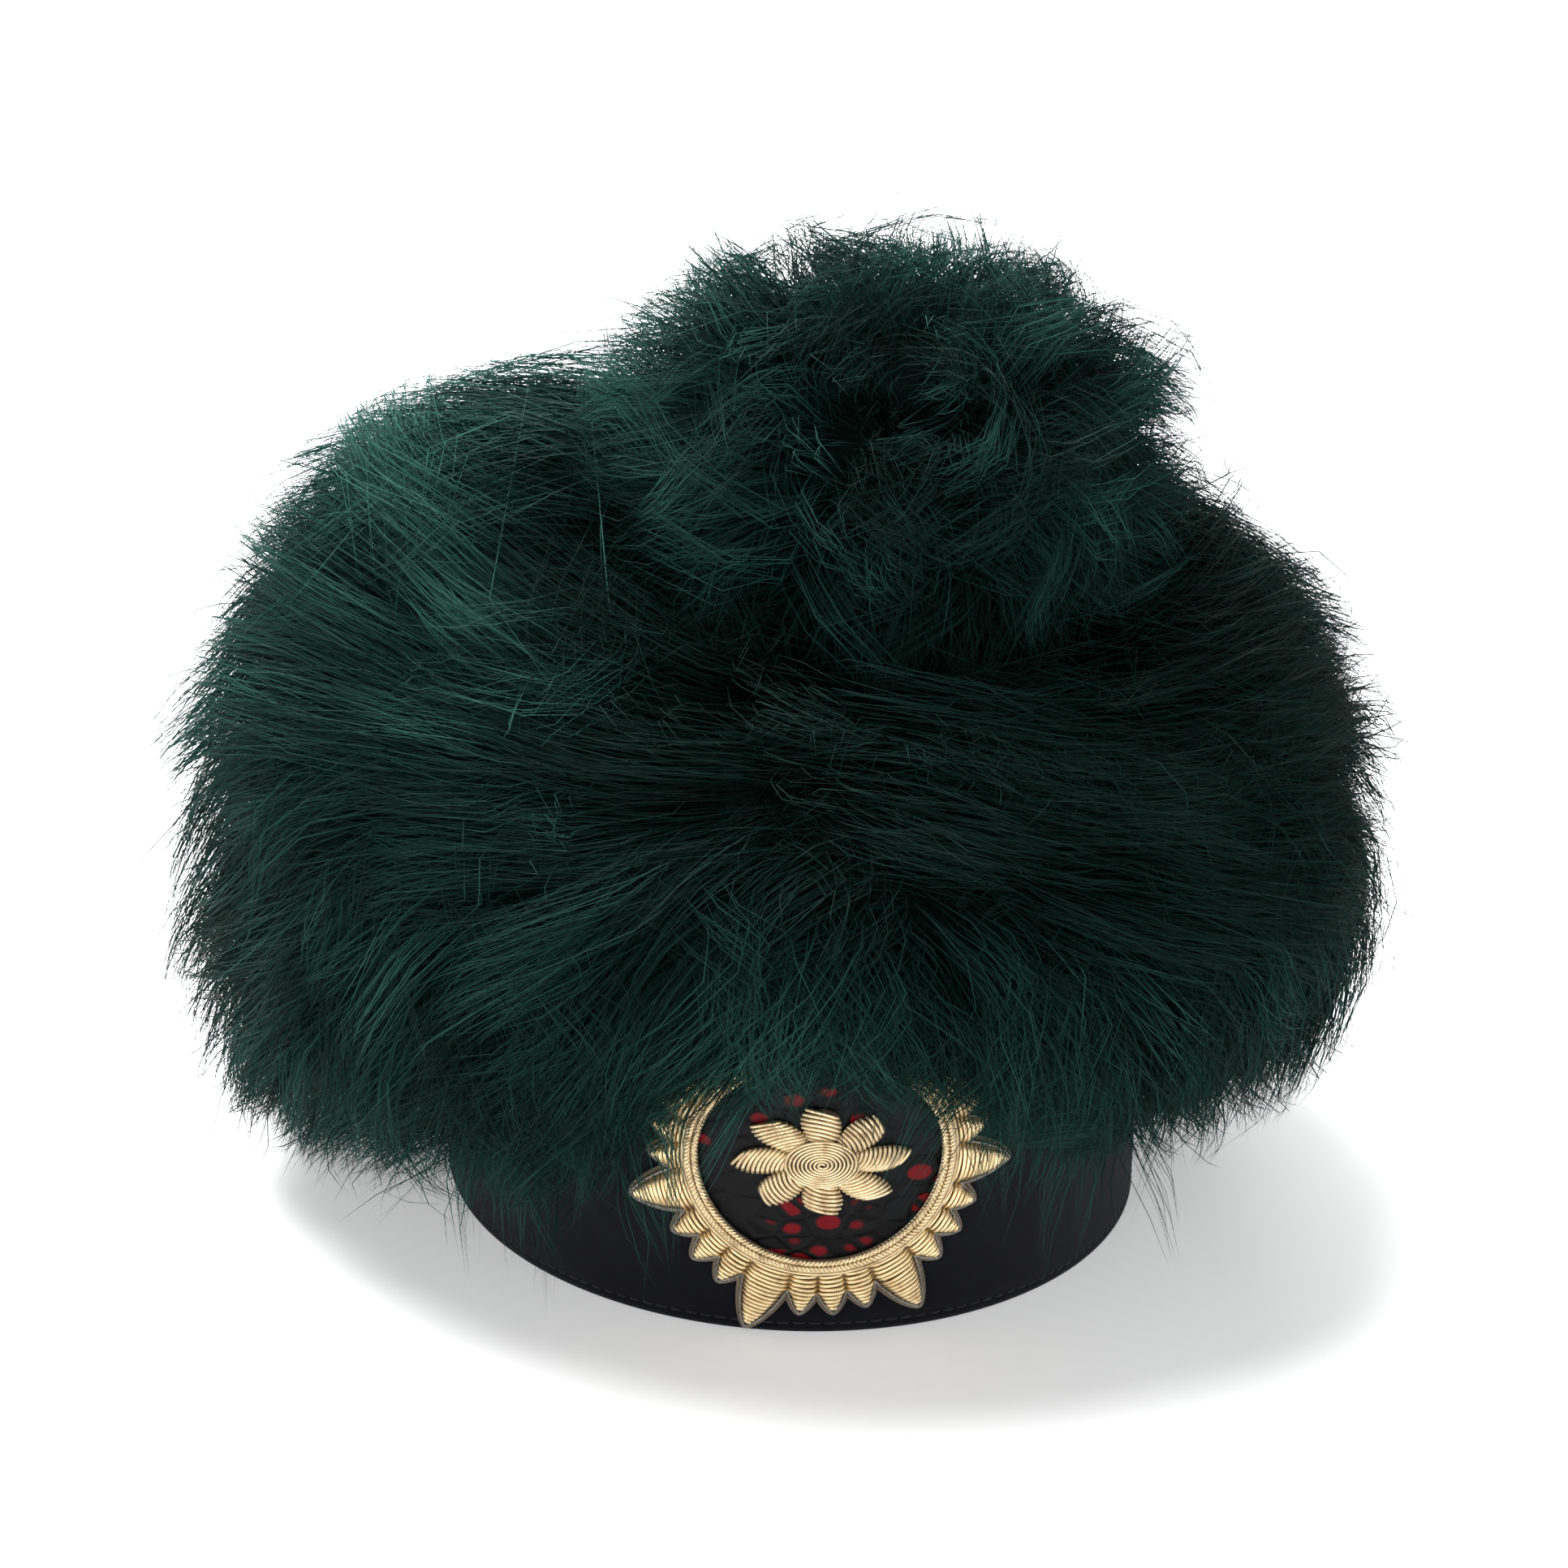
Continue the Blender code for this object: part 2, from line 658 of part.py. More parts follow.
def build_crest_ground(collection, material):
    """Padded oval of patterned cloth inside the leaves."""
    edge = oval_outline(GROUND_HALF_WIDTH + ROPE_WIDTH, GROUND_HALF_HEIGHT + ROPE_WIDTH,
                        GROUND_STEPS)
    bm = bmesh.new()
    back = [lay(edge, FELT_SEAT, scale) for scale in (1 / 3, 2 / 3, 1)]
    front = [lay(edge, GROUND_FACE, scale) for scale in (1, 2 / 3, 1 / 3)]
    loops = loft(bm, back + front)
    close_to_point(bm, loops[0], wrap(0, 0, FELT_SEAT))
    close_to_point(bm, loops[-1], wrap(0, 0, GROUND_FACE))
    return make_object("crest_ground", bm, collection, material)


def build_crest_rope(collection, material):
    """Double row of cord round the ground."""
    rings = []
    for row in ROPE:
        growth = row.across * ROPE_WIDTH
        outline = oval_outline(GROUND_HALF_WIDTH + growth, GROUND_HALF_HEIGHT + growth, ROPE_STEPS)
        rings.append(lay(outline, TRIM_BACK + row.height * ROPE_DEPTH))
    bm = bmesh.new()
    loft(bm, rings, join_ends=True)
    return make_object("crest_rope", bm, collection, material)


def build_crest_rosette(collection, material):
    """Plain flower of round petals about a raised boss."""
    outline = []
    steps = ROSETTE_PETALS * PETAL_STEPS
    for step in range(steps):
        angle = 2 * pi * step / steps
        bulge = abs(cos(ROSETTE_PETALS * angle / 2))**ROSETTE_FULLNESS
        share = ROSETTE_WAIST + (1 - ROSETTE_WAIST) * bulge
        outline.append((ROSETTE_HALF_WIDTH * share * cos(angle),
                        ROSETTE_HALF_HEIGHT * share * sin(angle)))
    top = TRIM_BACK + ROSETTE_DEPTH
    bm = bmesh.new()
    rings = [lay(outline, TRIM_BACK, ROSETTE_BOSS_FOOT), lay(outline, TRIM_BACK),
             lay(outline, top), lay(outline, top, ROSETTE_BOSS_FOOT),
             lay(outline, top + ROSETTE_BOSS, ROSETTE_BOSS_TOP)]
    loops = loft(bm, rings)
    close_to_point(bm, loops[0], wrap(0, 0, TRIM_BACK))
    close_to_point(bm, loops[-1], wrap(0, 0, top + ROSETTE_BOSS))
    return make_object("crest_rosette", bm, collection, material)


def main():
    scene = bpy.context.scene
    hat = bpy.data.collections.new("fur_hat")
    helpers = bpy.data.collections.new("fur_hat_helpers")
    scene.collection.children.link(hat)
    scene.collection.children.link(helpers)
    navy = make_material("navy_wool", (0.006, 0.007, 0.014), 0.9, sheen=0.3)
    pelt = make_material("pelt_leather", (0.10, 0.09, 0.07), 0.8)
    fur = make_material("green_fur", (0.006, 0.045, 0.036), 0.75, sheen=0.2)
    felt = make_material("grey_felt", (0.11, 0.09, 0.06), 0.9)
    brocade = make_material("black_and_red_brocade", (0.03, 0.004, 0.005), 0.7)
    gold = make_material("gold_wire", (0.60, 0.48, 0.24), 0.35, metallic=0.9)
    build_headband(hat, navy)
    build_crown_skin(hat, pelt)
    build_fur_coat(hat, helpers, fur)
    build_pompom(hat, helpers, fur)
    build_crest_backing(hat, felt)
    build_crest_leaves(hat, gold)
    build_crest_ground(hat, brocade)
    build_crest_rope(hat, gold)
    build_crest_rosette(hat, gold)


main()
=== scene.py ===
# Looks of the fur hat: long green hair, a navy wool band and a crest in gold wire.
# Metres, +Z up. The front faces -Y, and a turn runs from the front towards +X.
import json
from math import cos, pi, radians, sin

import bmesh
import bpy
import numpy as np
from mathutils import Matrix, Vector

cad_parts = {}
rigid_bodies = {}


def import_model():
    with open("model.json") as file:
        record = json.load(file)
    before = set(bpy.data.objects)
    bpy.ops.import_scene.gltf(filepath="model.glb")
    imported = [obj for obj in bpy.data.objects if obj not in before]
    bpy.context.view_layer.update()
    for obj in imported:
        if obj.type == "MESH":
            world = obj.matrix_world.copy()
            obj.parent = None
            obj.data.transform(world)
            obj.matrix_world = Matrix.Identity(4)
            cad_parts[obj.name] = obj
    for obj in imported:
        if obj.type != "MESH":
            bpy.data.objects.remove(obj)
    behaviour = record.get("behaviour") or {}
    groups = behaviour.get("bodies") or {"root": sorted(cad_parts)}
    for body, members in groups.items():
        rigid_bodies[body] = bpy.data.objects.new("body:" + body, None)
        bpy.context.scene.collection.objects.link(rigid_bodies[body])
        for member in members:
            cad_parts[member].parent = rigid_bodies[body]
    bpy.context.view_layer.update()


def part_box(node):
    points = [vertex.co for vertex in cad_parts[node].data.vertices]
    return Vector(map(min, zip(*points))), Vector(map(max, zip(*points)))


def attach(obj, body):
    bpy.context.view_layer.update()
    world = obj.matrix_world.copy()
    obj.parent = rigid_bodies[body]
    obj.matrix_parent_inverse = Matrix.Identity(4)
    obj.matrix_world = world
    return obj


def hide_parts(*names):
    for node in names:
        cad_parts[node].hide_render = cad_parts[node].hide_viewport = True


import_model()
scene = bpy.context.scene

bandLow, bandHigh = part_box("headband")
bandHalf = ((bandHigh[0] - bandLow[0]) / 2, (bandHigh[1] - bandLow[1]) / 2)
bandHeight = bandHigh[2]
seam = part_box("crown_skin")[0][2]
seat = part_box("crown_skin")[1][2]


# Small tools for curves, surfaces and meshes

def smoothStep(value):
    value = np.clip(value, 0.0, 1.0)
    return value * value * (3 - 2 * value)


def smoothCurve(at, places, values):
    # Smooth curve through the values, straight on beyond the first and last
    places, values = np.asarray(places, float), np.asarray(values, float)
    before = np.maximum(np.arange(len(places)) - 1, 0)
    after = np.minimum(np.arange(len(places)) + 1, len(places) - 1)
    slopes = (values[after] - values[before]) / (places[after] - places[before])
    step = np.clip(np.searchsorted(places, at, side="right") - 1, 0, len(places) - 2)
    span = places[step + 1] - places[step]
    t = np.clip((at - places[step]) / span, 0.0, 1.0)
    inside = ((2 * t**3 - 3 * t**2 + 1) * values[step]
              + (t**3 - 2 * t**2 + t) * span * slopes[step]
              + (3 * t**2 - 2 * t**3) * values[step + 1]
              + (t**3 - t**2) * span * slopes[step + 1])
    beyond = np.minimum(at - places[0], 0.0) * slopes[0] + np.maximum(at - places[-1], 0.0) * slopes[-1]
    return inside + beyond


def ovalReach(halfWidth, halfDepth, turn):
    return 1 / np.hypot(np.sin(turn) / halfWidth, np.cos(turn) / halfDepth)


def atTurn(radius, turn, height, shift=0.0):
    radius, turn, height = np.broadcast_arrays(radius, turn, height)
    return np.stack([radius * np.sin(turn) + shift, -radius * np.cos(turn), height], axis=-1)


def unit(vectors):
    return vectors / np.maximum(np.linalg.norm(vectors, axis=-1, keepdims=True), 1e-12)


def distanceAlong(points):
    # Distance from the first point to each one along the path
    steps = np.linalg.norm(np.diff(points, axis=0), axis=1)
    return np.concatenate([[0], np.cumsum(steps)])


def addPiece(mesh, material, replaced=()):
    # The piece has its mesh's name
    mesh.materials.append(material)
    piece = bpy.data.objects.new(mesh.name, mesh)
    scene.collection.objects.link(piece)
    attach(piece, "root")
    if replaced:
        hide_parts(*replaced)


def joinedMesh(name, verts, loops, totals, u, v):
    # One mesh of alike parts: verts is parts x points x 3, loops and totals are one part's
    # faces, and u and v fill the UV map "run"
    count, each = verts.shape[:2]
    mesh = bpy.data.meshes.new(name)
    mesh.vertices.add(count * each)
    mesh.vertices.foreach_set("co", verts.astype(np.float32).ravel())
    allLoops = (np.array(loops)[None] + each * np.arange(count)[:, None]).ravel()
    mesh.loops.add(len(allLoops))
    mesh.loops.foreach_set("vertex_index", allLoops.astype(np.int32))
    starts = np.concatenate([[0], np.cumsum(np.tile(totals, count))[:-1]])
    mesh.polygons.add(len(starts))
    mesh.polygons.foreach_set("loop_start", starts.astype(np.int32))
    mesh.update(calc_edges=True)
    layer = mesh.uv_layers.new(name="run")
    layer.data.foreach_set("uv", np.stack([u, v], axis=-1).astype(np.float32).ravel())
    mesh.shade_smooth()
    return mesh


def meshFrom(bm, name):
    mesh = bpy.data.meshes.new(name)
    bm.to_mesh(mesh)
    bm.free()
    mesh.shade_smooth()
    return mesh


def tubes(name, paths, radii, sides, across, closed=False):
    # One joined mesh of tubes. paths is tubes x stations x 3, radii spreads over
    # tubes x stations x sides, and across leans each section. The UV map holds the turn
    # round the tube and millimetres along it.
    count, stations = paths.shape[:2]
    if closed:
        ahead = np.roll(paths, -1, axis=1) - np.roll(paths, 1, axis=1)
    else:
        ahead = np.gradient(paths, axis=1)
    ahead = unit(ahead)
    side = unit(np.cross(ahead, np.broadcast_to(across, paths.shape)))
    up = np.cross(ahead, side)
    angle = 2 * pi * np.arange(sides) / sides
    radii = np.broadcast_to(radii, (count, stations, sides))[..., None]
    rings = paths[:, :, None] + radii * (np.cos(angle)[:, None] * side[:, :, None]
                                         + np.sin(angle)[:, None] * up[:, :, None])
    verts = rings.reshape(count, -1, 3)
    loops, totals, turnShare, stationOf = [], [], [], []
    spans = stations if closed else stations - 1
    for row in range(spans):
        for k in range(sides):
            following, above = (k + 1) % sides, (row + 1) % stations
            loops += [row * sides + k, row * sides + following,
                      above * sides + following, above * sides + k]
            turnShare += [k, k + 1, k + 1, k]
            stationOf += [row, row, row + 1, row + 1]
            totals.append(4)
    if not closed:
        loops += list(range(sides))[::-1]
        turnShare += list(range(sides))[::-1]
        stationOf += [0] * sides
        totals.append(sides)
        last = (stations - 1) * sides
        loops += list(range(last, last + sides))
        turnShare += list(range(sides))
        stationOf += [stations - 1] * sides
        totals.append(sides)
    steps = np.linalg.norm(np.diff(paths, axis=1, append=paths[:, :1]), axis=2)
    lengths = np.concatenate([np.zeros((count, 1)), np.cumsum(steps, axis=1)], axis=1) * 1000
    return joinedMesh(name, verts, loops, totals, np.tile(np.array(turnShare) / sides, count),
                      lengths[:, stationOf].ravel())


def ribbons(name, paths, halfWidths, turned, tints, centre):
    # One joined mesh of flat hairs that end in a point. paths is hairs x stations x 3. A hair
    # faces away from the centre, but for its own turn at each station. The UV map holds the
    # tint and the share of the length.
    count, stations = paths.shape[:2]
    ahead = unit(np.gradient(paths, axis=1))
    side = unit(np.cross(ahead, unit(paths - np.array(centre)) + np.array([0.05, 0.04, 0.14])))
    side = np.cos(turned)[..., None] * side + np.sin(turned)[..., None] * np.cross(ahead, side)
    rows = stations - 1
    reach = (side * halfWidths[..., None])[:, :rows]
    verts = np.concatenate([paths[:, :rows] - reach, paths[:, :rows] + reach, paths[:, -1:]], axis=1)
    loops, stationOf = [], []
    for row in range(rows - 1):
        loops += [row, row + 1, rows + row + 1, rows + row]
        stationOf += [row, row + 1, row + 1, row]
    loops += [rows - 1, 2 * rows, 2 * rows - 1]
    stationOf += [rows - 1, rows, rows - 1]
    return joinedMesh(name, verts, loops, [4] * (rows - 1) + [3], np.repeat(tints, len(loops)),
                      np.tile(np.array(stationOf) / rows, count))


def mappedGrid(name, place, steps, rows, flat=None):
    # A grid bent onto a surface: place takes two arrays of shares and gives the points,
    # and flat gives the UV map "run" in the same way
    bm = bmesh.new()
    bmesh.ops.create_grid(bm, x_segments=steps, y_segments=rows, size=0.5)
    shares = np.array([vert.co for vert in bm.verts]) + 0.5
    if flat:
        layer = bm.loops.layers.uv.new("run")
        mapped = flat(shares[:, 0], shares[:, 1])
        for face in bm.faces:
            for loop in face.loops:
                loop[layer].uv = mapped[loop.vert.index]
    for vert, point in zip(bm.verts, place(shares[:, 0], shares[:, 1])):
        vert.co = point
    bmesh.ops.remove_doubles(bm, verts=bm.verts, dist=1e-6)
    bmesh.ops.recalc_face_normals(bm, faces=bm.faces)
    return meshFrom(bm, name)


# Small tools for materials

def newMaterial(name):
    material = bpy.data.materials.new(name)
    material.use_nodes = True
    return material, material.node_tree, material.node_tree.nodes["Principled BSDF"]


def feed(tree, node, inputs):
    # Each input gets a value or the socket that leads to it
    for key, value in inputs.items():
        if isinstance(value, bpy.types.NodeSocket):
            tree.links.new(value, node.inputs[key])
        else:
            node.inputs[key].default_value = value


def addNode(tree, kind, inputs=None, **settings):
    node = tree.nodes.new(kind)
    for key, value in settings.items():
        setattr(node, key, value)
    feed(tree, node, inputs or {})
    return node


def maths(tree, operation, *values):
    return addNode(tree, "ShaderNodeMath", dict(enumerate(values)), operation=operation).outputs[0]


def mapRange(tree, value, low, high, first=0.0, last=1.0, kind="LINEAR"):
    inputs = {"Value": value, "From Min": low, "From Max": high, "To Min": first, "To Max": last}
    return addNode(tree, "ShaderNodeMapRange", inputs, interpolation_type=kind).outputs[0]


def mixColours(tree, factor, first, second):
    mix = addNode(tree, "ShaderNodeMix", {0: factor, 6: first, 7: second}, data_type="RGBA")
    return mix.outputs[2]


def groupWith(name, inputs, outputs):
    group = bpy.data.node_groups.new(name, "ShaderNodeTree")
    for label, value in inputs.items():
        kind = "NodeSocketColor" if isinstance(value, tuple) else "NodeSocketFloat"
        socket = group.interface.new_socket(label, in_out="INPUT", socket_type=kind)
        socket.default_value = value
    for label, kind in outputs.items():
        group.interface.new_socket(label, in_out="OUTPUT", socket_type=kind)
    return group, group.nodes.new("NodeGroupInput").outputs, group.nodes.new("NodeGroupOutput")


def makeCoilGroup():
    # Fine coils of bullion wire round each tube, with tarnish in patches and painted shade in the grooves
    # between coils
    group, given, out = groupWith(
        "bullion_coils",
        {"Bright": (0.8, 0.7, 0.5, 1.0), "Tarnished": (0.3, 0.2, 0.1, 1.0),
         "Coils per mm": 3.0, "Depth": 0.5},
        {"Color": "NodeSocketColor", "Roughness": "NodeSocketFloat", "Normal": "NodeSocketVector"})
    run = addNode(group, "ShaderNodeUVMap", uv_map="run")
    split = addNode(group, "ShaderNodeSeparateXYZ", {0: run.outputs[0]})
    along = maths(group, "MULTIPLY", split.outputs["Y"], given["Coils per mm"])
    slanted = maths(group, "ADD", along, split.outputs["X"])
    wave = maths(group, "SINE", maths(group, "MULTIPLY", slanted, 2 * pi))
    place = addNode(group, "ShaderNodeTexCoord").outputs["Object"]
    patches = addNode(group, "ShaderNodeTexNoise",
                      {"Vector": place, "Scale": 260.0, "Detail": 3.0, "Roughness": 0.6})
    worn = mapRange(group, patches.outputs["Fac"], 0.45, 0.70, 0.0, 0.75)
    # Painted shade: the colour darkens towards the tarnish colour in each groove between coils
    grooveShade = mapRange(group, wave, -1.0, -0.2, 0.55, 0.0)
    dark = maths(group, "MAXIMUM", worn, grooveShade)
    bump = addNode(group, "ShaderNodeBump",
                   {"Distance": 0.0002, "Height": wave, "Strength": given["Depth"]})
    feed(group, out, {"Color": mixColours(group, dark, given["Bright"], given["Tarnished"]),
                      "Roughness": mapRange(group, dark, 0.0, 1.0, 0.30, 0.62),
                      "Normal": bump.outputs[0]})
    return group


def makeNapGroup():
    # Soft nap of wool, felt and suede: colour drifts slowly and the surface is fuzzy
    group, given, out = groupWith(
        "cloth_nap",
        {"Cloth": (0.1, 0.1, 0.1, 1.0), "Worn": (0.2, 0.2, 0.2, 1.0), "Grain": 2500.0, "Depth": 0.4},
        {"Color": "NodeSocketColor", "Normal": "NodeSocketVector"})
    place = addNode(group, "ShaderNodeTexCoord").outputs["Object"]
    fine = addNode(group, "ShaderNodeTexNoise",
                   {"Vector": place, "Scale": given["Grain"], "Detail": 4.0, "Roughness": 0.7})
    broad = addNode(group, "ShaderNodeTexNoise", {"Vector": place, "Scale": 45.0, "Detail": 3.0})
    both = maths(group, "MULTIPLY", fine.outputs["Fac"], broad.outputs["Fac"])
    share = mapRange(group, both, 0.12, 0.42)
    bump = addNode(group, "ShaderNodeBump",
                   {"Distance": 0.0003, "Height": fine.outputs["Fac"], "Strength": given["Depth"]})
    feed(group, out, {"Color": mixColours(group, share, given["Cloth"], given["Worn"]),
                      "Normal": bump.outputs[0]})
    return group


# Camera at the photograph's angle, and the studio

view = {
    "distance": 1.20,
    "elevation": 21.8,
    "azimuth": -4.0,
    "roll": 1.9,
    "aside": -0.0048,
    "height": 0.103,
    "lens": 109.7,
}


def makeCamera():
    e, a = radians(view["elevation"]), radians(view["azimuth"])
    back = Vector((sin(a) * cos(e), -cos(a) * cos(e), sin(e)))
    target = Vector((view["aside"] * cos(a), view["aside"] * sin(a), view["height"]))
    camera = bpy.data.objects.new("camera", bpy.data.cameras.new("camera"))
    camera.data.lens = view["lens"]
    camera.data.sensor_width = 36.0
    roll = Matrix.Rotation(radians(view["roll"]), 4, "Z")
    camera.matrix_world = (Matrix.Translation(target + back * view["distance"])
                           @ (-back).to_track_quat("-Z", "Y").to_matrix().to_4x4() @ roll)
    scene.collection.objects.link(camera)
    scene.camera = camera


studio = {
    "keyLight": ((-0.6, 0.60, 1.85), 1.8, 128.0),  # place, size and power
    "fillLight": ((-0.5, -1.5, 0.9), 0.45, 4.0),
    "backLight": ((0.2, 1.5, 1.3), 1.2, 20.0),
    "sky": (0.96, 0.98, 1.0, 1.0),
    "skyStrength": 0.36,
    "floorColour": (0.86, 0.86, 0.86, 1.0),
    "floorGlow": 0.34,
    "floorRings": ((2.6, 0.0), (3.0, 0.03), (3.4, 0.17), (3.7, 0.45), (3.9, 0.9), (4.0, 1.6)),
}


def softbox(name, place, size, power):
    lamp = bpy.data.lights.new(name, "AREA")
    lamp.shape = "DISK"
    lamp.size = size
    lamp.energy = power
    box = bpy.data.objects.new(name, lamp)
    aim = Vector((0, 0, 0.1)) - Vector(place)
    box.matrix_world = Matrix.Translation(place) @ aim.to_track_quat("-Z", "Y").to_matrix().to_4x4()
    scene.collection.objects.link(box)


def makeLights():
    softbox("key_light", *studio["keyLight"])
    softbox("fill_light", *studio["fillLight"])
    softbox("back_light", *studio["backLight"])
    world = bpy.data.worlds.new("studio")
    world.use_nodes = True
    sky = world.node_tree.nodes["Background"].inputs
    sky["Color"].default_value = studio["sky"]
    sky["Strength"].default_value = studio["skyStrength"]
    scene.world = world
    scene.view_settings.view_transform = "Standard"


def makeFloor():
    # The floor curves up all round, so that low views see no edge
    bm = bmesh.new()
    bmesh.ops.create_circle(bm, cap_ends=True, segments=96, radius=studio["floorRings"][0][0])
    edges = list(bm.edges)
    for radius, height in studio["floorRings"][1:]:
        made = bmesh.ops.extrude_edge_only(bm, edges=edges)["geom"]
        edges = [part for part in made if isinstance(part, bmesh.types.BMEdge)]
        for vert in (part for part in made if isinstance(part, bmesh.types.BMVert)):
            heading = vert.co.xy.normalized()
            vert.co = (heading.x * radius, heading.y * radius, height)
    bmesh.ops.recalc_face_normals(bm, faces=bm.faces)
    mesh = meshFrom(bm, "floor")
    paint, tree, shader = newMaterial("pale_floor")
    feed(tree, shader, {"Base Color": studio["floorColour"], "Roughness": 0.9,
                        "Emission Color": (1, 1, 1, 1), "Emission Strength": studio["floorGlow"]})
    mesh.materials.append(paint)
    floor = bpy.data.objects.new("floor", mesh)
    scene.collection.objects.link(floor)


makeCamera()
makeLights()
makeFloor()
print("camera and studio ready")


# Materials

coilGroup = makeCoilGroup()
napGroup = makeNapGroup()


def wireMaterial(name, bright, tarnishAndShade, coils, depth, metallic):
    material, tree, shader = newMaterial(name)
    effect = addNode(tree, "ShaderNodeGroup",
                     {"Bright": (*bright, 1), "Tarnished": (*tarnishAndShade, 1), "Coils per mm": coils,
                      "Depth": depth}, node_tree=coilGroup).outputs
    feed(tree, shader, {"Base Color": effect["Color"], "Roughness": effect["Roughness"],
                        "Normal": effect["Normal"], "Metallic": metallic})
    return material


def clothMaterial(name, cloth, worn, grain, depth, roughness, sheen, shine=0.25):
    material, tree, shader = newMaterial(name)
    effect = addNode(tree, "ShaderNodeGroup",
                     {"Cloth": (*cloth, 1), "Worn": (*worn, 1), "Grain": grain, "Depth": depth},
                     node_tree=napGroup).outputs
    feed(tree, shader, {"Base Color": effect["Color"], "Normal": effect["Normal"],
                        "Roughness": roughness, "Sheen Weight": sheen, "Specular IOR Level": shine})
    return material


hairColourAndShade = {
    # The near-black root colour is painted shade deep in the fur
    "root": (0.0007, 0.0024, 0.0019, 1),
    "darkTip": (0.0036, 0.0086, 0.0068, 1),
    "paleTip": (0.0180, 0.068, 0.0520, 1),
    "fadeStart": 0.10,
    "fadeEnd": 0.85,
    "roughness": 0.58,
    "shine": 0.045,
    "shineTint": (0.30, 1.0, 0.80, 1),
}


def hairMaterial():
    # Near-black at the root as painted shade deep in the fur, teal green at the tip, each hair tinted by
    # its own value, a value that also carries painted light and shade
    material, tree, shader = newMaterial("green_hair")
    run = addNode(tree, "ShaderNodeUVMap", uv_map="run")
    split = addNode(tree, "ShaderNodeSeparateXYZ", {0: run.outputs[0]})
    rootToTip = mapRange(tree, split.outputs["Y"], hairColourAndShade["fadeStart"], hairColourAndShade["fadeEnd"],
                         kind="SMOOTHSTEP")
    tip = mixColours(tree, split.outputs["X"], hairColourAndShade["darkTip"], hairColourAndShade["paleTip"])
    feed(tree, shader, {"Base Color": mixColours(tree, rootToTip, hairColourAndShade["root"], tip),
                        "Roughness": hairColourAndShade["roughness"],
                        "Specular IOR Level": hairColourAndShade["shine"],
                        "Specular Tint": hairColourAndShade["shineTint"]})
    return material


greenHair = hairMaterial()
# Near-black as painted shade of the fur's depth, under the hair and in the pompom's core
shadedUnderfur = clothMaterial("dark_underfur", cloth=(0.0008, 0.0030, 0.0024), worn=(0.0016, 0.0065, 0.0052),
                             grain=900.0, depth=1.0, roughness=0.95, sheen=0.0, shine=0.04)
print("materials ready")


# Shape of the fur, the same as the solid's

fur = {
    "side": 0.0655,
    "front": 0.0425,
    "above": 0.058,
    "lean": 0.13,
    "browDrop": 0.040,
    "browWrap": 0.20,
    "bodyUnderTips": 0.011,
    "along": (-0.14, 0.00, 0.14, 0.28, 0.42, 0.56, 0.69, 0.81, 0.91, 1.00),
    "rise": (-0.130, 0.000, 0.130, 0.280, 0.430, 0.565, 0.685, 0.790, 0.890, 0.975),
    "leftReach": (0.86, 0.94, 0.99, 1.00, 1.00, 0.98, 0.93, 0.84, 0.80, 0.74),
    "rightReach": (0.78, 0.86, 0.95, 1.00, 0.99, 0.96, 0.89, 0.80, 0.73, 0.70),
    "frontReach": (0.76, 0.88, 0.95, 0.99, 1.00, 0.97, 0.90, 0.80, 0.74, 0.70),
    "backReach": (0.86, 0.93, 0.98, 1.00, 1.00, 0.97, 0.91, 0.82, 0.77, 0.73),
    "nest": (0.0, 0.0, 0.0, 0.0, 0.0, 0.0, 0.0, 0.02, 0.40, 1.0),
    "hemTurn": (0, 13, 26, 40, 60, 90, 135, 180),
    "leftHem": (0.78, 0.74, 0.60, 0.55, 0.48, 0.33, 0.34, 0.38),
    "rightHem": (0.78, 0.76, 0.66, 0.59, 0.58, 0.55, 0.46, 0.38),
    "innerHem": 0.25,
    "underGap": 0.0030,
    "crestGap": 0.0065,
    "crestSide": 62,
    "crestFade": 34,
    "underSlant": 0.22,
    "nestRun": 0.16,
    "nestFall": 0.02,
}
pompom = {
    "halfWidth": 0.070,
    "halfHeight": 0.055,
    "lift": 0.057,
    "shift": 0.021,
    "clearance": 0.003,
    "coreShare": 0.66,
    "shoulder": 0.003,
    "neck": 0.012,
}
pompomCentre = np.array([pompom["shift"], 0.0, seat + pompom["lift"]])
furHalf = (bandHalf[0] + fur["side"] - fur["bodyUnderTips"],
           bandHalf[1] + fur["front"] - fur["bodyUnderTips"])
furTop = seat + fur["above"]


def turnFromFront(turn):
    return np.abs(np.arctan2(np.sin(turn), np.cos(turn)))


def hemHeight(turn):
    away = np.degrees(turnFromFront(turn))
    left = smoothCurve(away, fur["hemTurn"], fur["leftHem"])
    right = smoothCurve(away, fur["hemTurn"], fur["rightHem"])
    return bandHeight * np.where(np.sin(turn) > 0, right, left)


